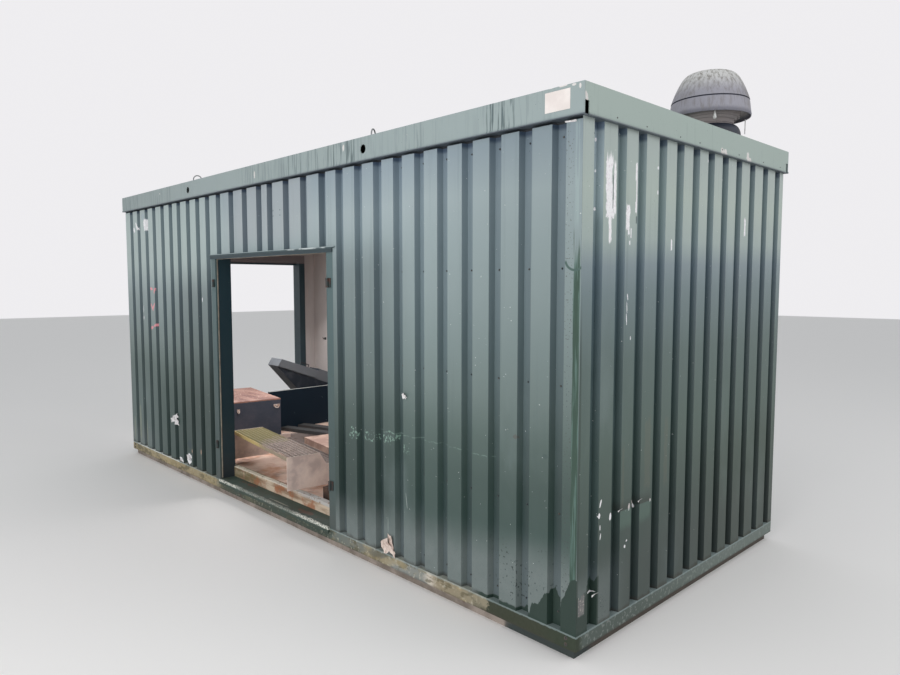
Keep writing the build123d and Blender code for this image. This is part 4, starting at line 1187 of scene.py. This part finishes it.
class CONTAINER_OT_scraps(bpy.types.Operator):
    """Lays the torn scraps of coat that curl off the walls"""

    bl_idname = "container.scraps"
    bl_label = "Torn scraps"

    reach = 0.021
    # Name, finish, wall, then across, up, half width, half height, tilt, how far it curls, and a seed
    scraps = (
        ("torn_flap", "scrap", "front", ((-1.81, 0.575, 0.085, 0.02, 0.3, 0.012, 1.0),
                                         (-1.785, 0.528, 0.062, 0.036, 0.0, 0.012, 2.0),
                                         (-1.88, 0.538, 0.055, 0.024, 0.3, 0.008, 3.0))),
        ("torn_knob", "scrap", "front", ((1.7, 1.193, 0.026, 0.018, 0.3, 0.02, 4.0),
                                         (1.712, 1.185, 0.012, 0.012, -0.4, 0.012, 5.0))),
        ("torn_foot_scrap", "beige_scrap", "front", ((1.515, 0.19, 0.065, 0.044, 0.5, 0.022, 6.0),
                                                     (1.56, 0.225, 0.03, 0.055, 0.1, 0.016, 7.0),
                                                     (1.575, 0.17, 0.045, 0.028, -0.5, 0.016, 8.0))),
        ("torn_foot_bits", "scrap", "front", ((-1.53, 0.215, 0.045, 0.028, 0.2, 0.012, 9.0),
                                              (-1.7, 0.163, 0.04, 0.009, 0.3, 0.01, 10.0))),
        ("bent_strip", "scrap", "front", ((2.935, 2.652, 0.04, 0.004, -0.08, 0.012, 11.0),)),
        ("dent_scraps", "scrap", "end", ((-0.848, 0.695, 0.012, 0.006, 0.7, 0.014, 12.0),
                                         (-0.652, 0.705, 0.012, 0.006, 0.8, 0.014, 13.0),
                                         (-1.07, 0.308, 0.02, 0.006, 0.3, 0.012, 14.0))))

    def flake(self, bm, place, half, tilt, curl, seed):
        """A thin torn sheet whose one corner curls off the wall."""
        made = bmesh.ops.create_grid(bm, x_segments=7, y_segments=7, size=1.0)["verts"]
        for vert in made:
            across, up, lift = vert.co
            tear = 0.88 + 0.3 * noise.noise(Vector((across * 1.3, up * 1.3, seed)))
            bow = max(0.0, (across * 0.7 + up * 0.5 + 0.5)) ** 2 * 0.5
            crumple = noise.noise(Vector((across * 2.5, up * 2.5, seed + 7.0))) * 0.3
            vert.co = Vector((across * half[0] * tear, up * half[1] * tear,
                              0.0008 + min(self.reach, curl * max(0.0, bow + crumple * (bow + 0.2)))))
        faces = list({face for vert in made for face in vert.link_faces})
        thick = bmesh.ops.solidify(bm, geom=faces, thickness=0.0012)["geom"]
        verts = list({*made, *(g for g in thick if isinstance(g, bmesh.types.BMVert))})
        bmesh.ops.transform(bm, verts=verts, matrix=place @ Matrix.Rotation(tilt, 4, "Z"))

    def execute(self, context):
        walls = {"front": (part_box("front_cladding_right")[0].y, Matrix.Rotation(math.pi / 2, 4, "X")),
                 "end": (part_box("right_end_cladding")[1].x,
                         Matrix.Rotation(math.pi / 2, 4, "Z") @ Matrix.Rotation(math.pi / 2, 4, "X"))}
        for name, finish_name, wall, flakes in self.scraps:
            face, turn = walls[wall]
            bm = bmesh.new()
            for across, up, half_width, half_height, tilt, curl, seed in flakes:
                spot = (across, face, up) if wall == "front" else (face, across, up)
                self.flake(bm, Matrix.Translation(spot) @ turn, (half_width, half_height), tilt, curl, seed)
            smooth(keep(name, bm, finish_name), 50.0)
        return {"FINISHED"}


class CONTAINER_OT_handles(bpy.types.Operator):
    """Adds the handles of the chest and the case, the wall hook and the block by the kerb"""

    bl_idname = "container.handles"
    bl_label = "Small things inside"

    chest_corner = (-1.745, -0.09)
    chest_turn = math.radians(-9.0)
    # How far along the face from the corner, height, width and height of the plate
    chest_handles = ((0.045, 0.565, 0.07, 0.026), (0.467, 0.545, 0.03, 0.03))
    bail = 0.014
    case_handle = ((-2.312, 0.52, 0.9073), (-2.312, 0.626, 0.8693))
    case_rise = Vector((0.0, 0.0105, 0.0295))
    hook = (-2.6134, 1.0850, 1.1827)
    block_low = (0.4168, -0.9804, 0.1985)
    block_size = (0.14, 0.09, 0.0970)

    def execute(self, context):
        bm = bmesh.new()
        for along, z, width, height in self.chest_handles:
            place = (Matrix.Translation((*self.chest_corner, z)) @ Matrix.Rotation(self.chest_turn, 4, "Z")
                     @ Matrix.Translation((0, -along, 0)))
            slab(bm, (0.0003, -width / 2, -height / 2), (0.005, width / 2, height / 2), 0.0015, place)
            points = [place @ Vector((0.008 + 0.008 * math.sin(t), width * 0.36 * math.cos(t),
                                      -height * 0.1 - self.bail * math.sin(t) * 1.6))
                      for t in (math.pi * i / 8 for i in range(9))]
            for start, end in zip(points, points[1:]):
                rod(bm, start, end, 0.005, sides=8)
        smooth(keep("chest_handles", bm, "pale_rust"))

        first, last = (Vector(point) for point in self.case_handle)
        points = (first, first + self.case_rise, last + self.case_rise, last)
        bm = bmesh.new()
        for start, end in zip(points, points[1:]):
            rod(bm, start, end, 0.0055, sides=10)
        for point in points[1:3]:
            bmesh.ops.create_uvsphere(bm, u_segments=10, v_segments=6, radius=0.0055,
                                      matrix=Matrix.Translation(point))
        smooth(keep("case_handle", bm, "dark_steel"))

        x, y, z = self.hook
        bm = bmesh.new()
        slab(bm, (x - 0.02, y - 0.004, z - 0.016), (x + 0.02, y + 0.0005, z + 0.016), 0.0015)
        rod(bm, (x - 0.008, y, z), (x - 0.008, y - 0.03, z - 0.002), 0.004)
        rod(bm, (x - 0.008, y - 0.03, z - 0.004), (x - 0.008, y - 0.034, z + 0.018), 0.004)
        smooth(keep("wall_hook", bm, "dark_steel"))

        bm = bmesh.new()
        low = Vector(self.block_low)
        slab(bm, low, low + Vector(self.block_size), 0.004)
        keep("kerb_block", bm, "block")
        return {"FINISHED"}


class CONTAINER_OT_fan(bpy.types.Operator):
    """Spins the smooth fan cowl and adds its rings, drip bolt and wire"""

    bl_idname = "container.fan"
    bl_label = "Roof fan"

    dome = ((1.0, 0.02), (0.95, 0.20), (0.875, 0.43), (0.80, 0.62), (0.71, 0.80), (0.585, 0.93),
            (0.36, 0.985), (0.16, 0.998), (0.0, 1.0))
    groove_height = 3.172
    groove_radius = 0.266
    groove_depth = 0.0045
    lip = 0.008
    neck_top = 3.0
    # Radius and height of the rings between the skirt and the neck
    throat = ((0.245, 3.098), (0.205, 3.096), (0.203, 3.06), (0.194, 3.056), (0.19, 3.06), (0.184, 3.058),
              (0.181, 3.044), (0.176, 3.04), (0.172, 3.044), (0.167, 3.04), (0.164, 3.016), (0.158, 3.012),
              (0.156, 3.001), (0.0, 3.001))
    bell = ((0.0, 3.0), (0.178, 3.0), (0.184, 2.997), (0.196, 2.985), (0.205, 2.97), (0.211, 2.952),
            (0.213, 2.935), (0.213, 2.843))

    drop = ((0.0, 3.008), (0.008, 3.011), (0.012, 3.022), (0.009, 3.04), (0.0035, 3.066), (0.0025, 3.09),
            (0.0, 3.09))
    drop_centre = (2.734, 0.691)
    strut = (2.777, 1.081)

    def execute(self, context):
        size = sizes()
        low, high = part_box("fan_cowl")
        centre = (low + high) / 2
        radius = (high.x - low.x) / 2
        rise = high.z - self.groove_height
        outline = [(self.groove_radius * r, self.groove_height + rise * z)
                   for r, z in rounded(self.dome, 6)]
        outline[-1] = (0.0, high.z)
        body = outline[::-1]
        rim = self.groove_height - 0.109
        body += [(self.groove_radius - self.groove_depth, self.groove_height),
                 (self.groove_radius, self.groove_height - self.groove_depth),
                 (radius - 0.003, rim + 0.03), (radius, rim + 0.012), (radius - 0.002, rim),
                 (radius - self.lip, rim), (radius - self.lip - 0.001, rim + 0.02), *self.throat]
        bm = bmesh.new()
        turned(bm, body, centre, size.turn_step)
        smooth(keep("fan_cowl_shell", bm, "cowl", ("fan_cowl",)), 40.0)
        bm = bmesh.new()
        turned(bm, self.bell, centre, size.turn_step)
        smooth(keep("fan_neck_shell", bm, "neck", ("fan_neck",)), 50.0)

        bm = bmesh.new()
        turned(bm, self.drop, self.drop_centre, 20)
        rod(bm, (*self.strut, 3.0625), (*self.strut, 2.96), 0.0035, sides=8)
        smooth(keep("fan_drop", bm, "white"), 50.0)
        return {"FINISHED"}


class CONTAINER_OT_eyes(bpy.types.Operator):
    """Bends the round lifting eyes and lays their plates"""

    bl_idname = "container.eyes"
    bl_label = "Lifting eyes"

    radius = 0.037
    leg = 0.026
    plate = (0.038, 0.062, 0.005)
    # Middle of each eye and how far its ring is turned
    places = ((-1.32, -1.15, 80.0), (1.32, -1.15, 122.0), (-1.32, 1.15, 90.0), (1.32, 1.15, 90.0))

    def execute(self, context):
        size = sizes()
        low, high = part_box("lifting_eyes")
        across, along, thick = self.plate
        bm = bmesh.new()
        for x, y, turn in self.places:
            place = Matrix.Translation((x, y, low.z)) @ Matrix.Rotation(math.radians(turn), 4, "Z")
            slab(bm, (x - across, y - along, low.z), (x + across, y + along, low.z + thick), 0.0015)
            ring = bmesh.ops.create_circle(
                bm, cap_ends=False, radius=size.eye_bar, segments=12,
                matrix=place @ Matrix.Translation((-self.radius, 0, thick * 0.5)))["verts"]
            edges = list({e for v in ring for e in v.link_edges})
            raised = bmesh.ops.extrude_edge_only(bm, edges=edges)["geom"]
            verts = [g for g in raised if isinstance(g, bmesh.types.BMVert)]
            edges = [g for g in raised if isinstance(g, bmesh.types.BMEdge)]
            bmesh.ops.translate(bm, vec=(0, 0, self.leg - thick * 0.5), verts=verts)
            loop = [e for e in edges if all(v in verts for v in e.verts)]
            bent = bmesh.ops.spin(bm, geom=verts + loop, cent=(x, y, low.z + self.leg),
                                  axis=place.to_3x3() @ Vector((0, 1, 0)), angle=math.pi,
                                  steps=18)["geom_last"]
            loop = [g for g in bent if isinstance(g, bmesh.types.BMEdge)]
            down = bmesh.ops.extrude_edge_only(bm, edges=loop)["geom"]
            verts = [g for g in down if isinstance(g, bmesh.types.BMVert)]
            bmesh.ops.translate(bm, vec=(0, 0, thick * 0.5 - self.leg), verts=verts)
        bmesh.ops.holes_fill(bm, edges=bm.edges, sides=0)
        smooth(keep("lifting_eye_bars", bm, "zinc", ("lifting_eyes",)))
        return {"FINISHED"}


class CONTAINER_OT_base_bolts(bpy.types.Operator):
    """Bolts the base rails at their ends"""

    bl_idname = "container.base_bolts"
    bl_label = "Base bolts"

    from_end = 0.06
    heights = (0.078, 0.11)

    def execute(self, context):
        low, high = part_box("base_rails")
        bm = bmesh.new()
        for x in (low.x + self.from_end, high.x - self.from_end):
            for y, out in ((low.y, -1), (high.y, 1)):
                for z in self.heights:
                    screw_head(bm, (x, y, z), (0, out, 0), 0.011, 0.008)
        smooth(keep("base_bolts", bm, "screw"))
        return {"FINISHED"}


class CONTAINER_OT_treads(bpy.types.Operator):
    """Builds the mesh treads of the step unit, with moss on the upper one"""

    bl_idname = "container.treads"
    bl_label = "Step treads"

    turn = math.radians(-8.0)
    corner = (0.16, -1.145)
    width = 1.265
    depth = 0.284
    upper = 0.5053
    lower = 0.3683
    rim = 0.03

    def tread(self, bm, place, back):
        size = sizes()
        top = 0.0
        bar = size.mesh_bar
        for y0, y1 in ((back, back + 0.006), (back + self.depth - 0.006, back + self.depth)):
            slab(bm, (-self.width, y0, top - self.rim), (0, y1, top), 0.001, place)
        for x0 in (-self.width, -0.006):
            slab(bm, (x0, back + 0.006, top - self.rim), (x0 + 0.006, back + self.depth - 0.006, top), 0.0, place)
        across = int((self.width - 0.012) // size.mesh_pitch)
        along = int((self.depth - 0.012) // size.mesh_pitch)
        for i in range(1, across + 1):
            x = -self.width + 0.006 + i * (self.width - 0.012) / (across + 1)
            slab(bm, (x - bar / 2, back + 0.006, top - 0.004), (x + bar / 2, back + self.depth - 0.006, top - 0.001),
                 0.0, place)
        for i in range(1, along + 1):
            y = back + 0.006 + i * (self.depth - 0.012) / (along + 1)
            slab(bm, (-self.width + 0.006, y - bar / 2, top - 0.0036), (-0.006, y + bar / 2, top - 0.0005),
                 0.0, place)

    def execute(self, context):
        base = Matrix.Translation((*self.corner, 0)) @ Matrix.Rotation(self.turn, 4, "Z")
        bm = bmesh.new()
        shift = Matrix.Translation((-0.0054, 0, 0))
        self.tread(bm, base @ shift @ Matrix.Translation((0, 0, self.upper - 0.0002)), 0.0)
        self.tread(bm, base @ shift @ Matrix.Translation((0, 0, self.lower - 0.0002)), 0.285)
        keep("mesh_treads", bm, "mesh", ("step_treads",))

        bm = bmesh.new()
        bmesh.ops.create_grid(bm, x_segments=60, y_segments=22, size=0.5,
                              matrix=Matrix.Diagonal((0.66, self.depth - 0.014, 1, 1)))
        for vert in bm.verts:
            lift = noise.fractal(vert.co * 14, 0.8, 2.0, 4)
            fade = (vert.co.x + 0.33) / 0.66
            vert.co.z = 0.003 * lift - 0.012 * max(0.0, fade - 0.5 + 0.35 * lift)
        bmesh.ops.transform(bm, verts=bm.verts, matrix=base @ shift @ Matrix.Translation(
            (-self.width + 0.006 + 0.33, self.depth / 2, self.upper - 0.0055)))
        smooth(keep("tread_moss", bm, "moss"), 180.0)
        return {"FINISHED"}


CLASSES = (ContainerColours, ContainerSizes, CONTAINER_OT_stage, CONTAINER_OT_dress, CONTAINER_OT_screws,
           CONTAINER_OT_roof_edge, CONTAINER_OT_doorway, CONTAINER_OT_scraps, CONTAINER_OT_handles,
           CONTAINER_OT_fan, CONTAINER_OT_eyes,
           CONTAINER_OT_base_bolts, CONTAINER_OT_treads)
OPERATORS = [cls for cls in CLASSES if issubclass(cls, bpy.types.Operator)]


class CONTAINER_PT_panel(bpy.types.Panel):
    """Lists the container's operators in the sidebar"""

    bl_label = "Container"
    bl_idname = "CONTAINER_PT_panel"
    bl_space_type = "VIEW_3D"
    bl_region_type = "UI"
    bl_category = "Container"

    def draw(self, context):
        for cls in OPERATORS:
            self.layout.operator(cls.bl_idname)
        for group in (context.scene.container_colours, context.scene.container_sizes):
            box = self.layout.box()
            for name in group.bl_rna.properties.keys():
                if name not in ("rna_type", "name"):
                    box.prop(group, name)


def register():
    for cls in (*CLASSES, CONTAINER_PT_panel):
        bpy.utils.register_class(cls)
    bpy.types.Scene.container_colours = PointerProperty(type=ContainerColours)
    bpy.types.Scene.container_sizes = PointerProperty(type=ContainerSizes)


def unregister():
    del bpy.types.Scene.container_sizes
    del bpy.types.Scene.container_colours
    for cls in reversed((*CLASSES, CONTAINER_PT_panel)):
        bpy.utils.unregister_class(cls)


def main():
    register()
    for cls in OPERATORS:
        group, name = cls.bl_idname.split(".")
        getattr(getattr(bpy.ops, group), name)()


if __name__ == "__main__":
    main()
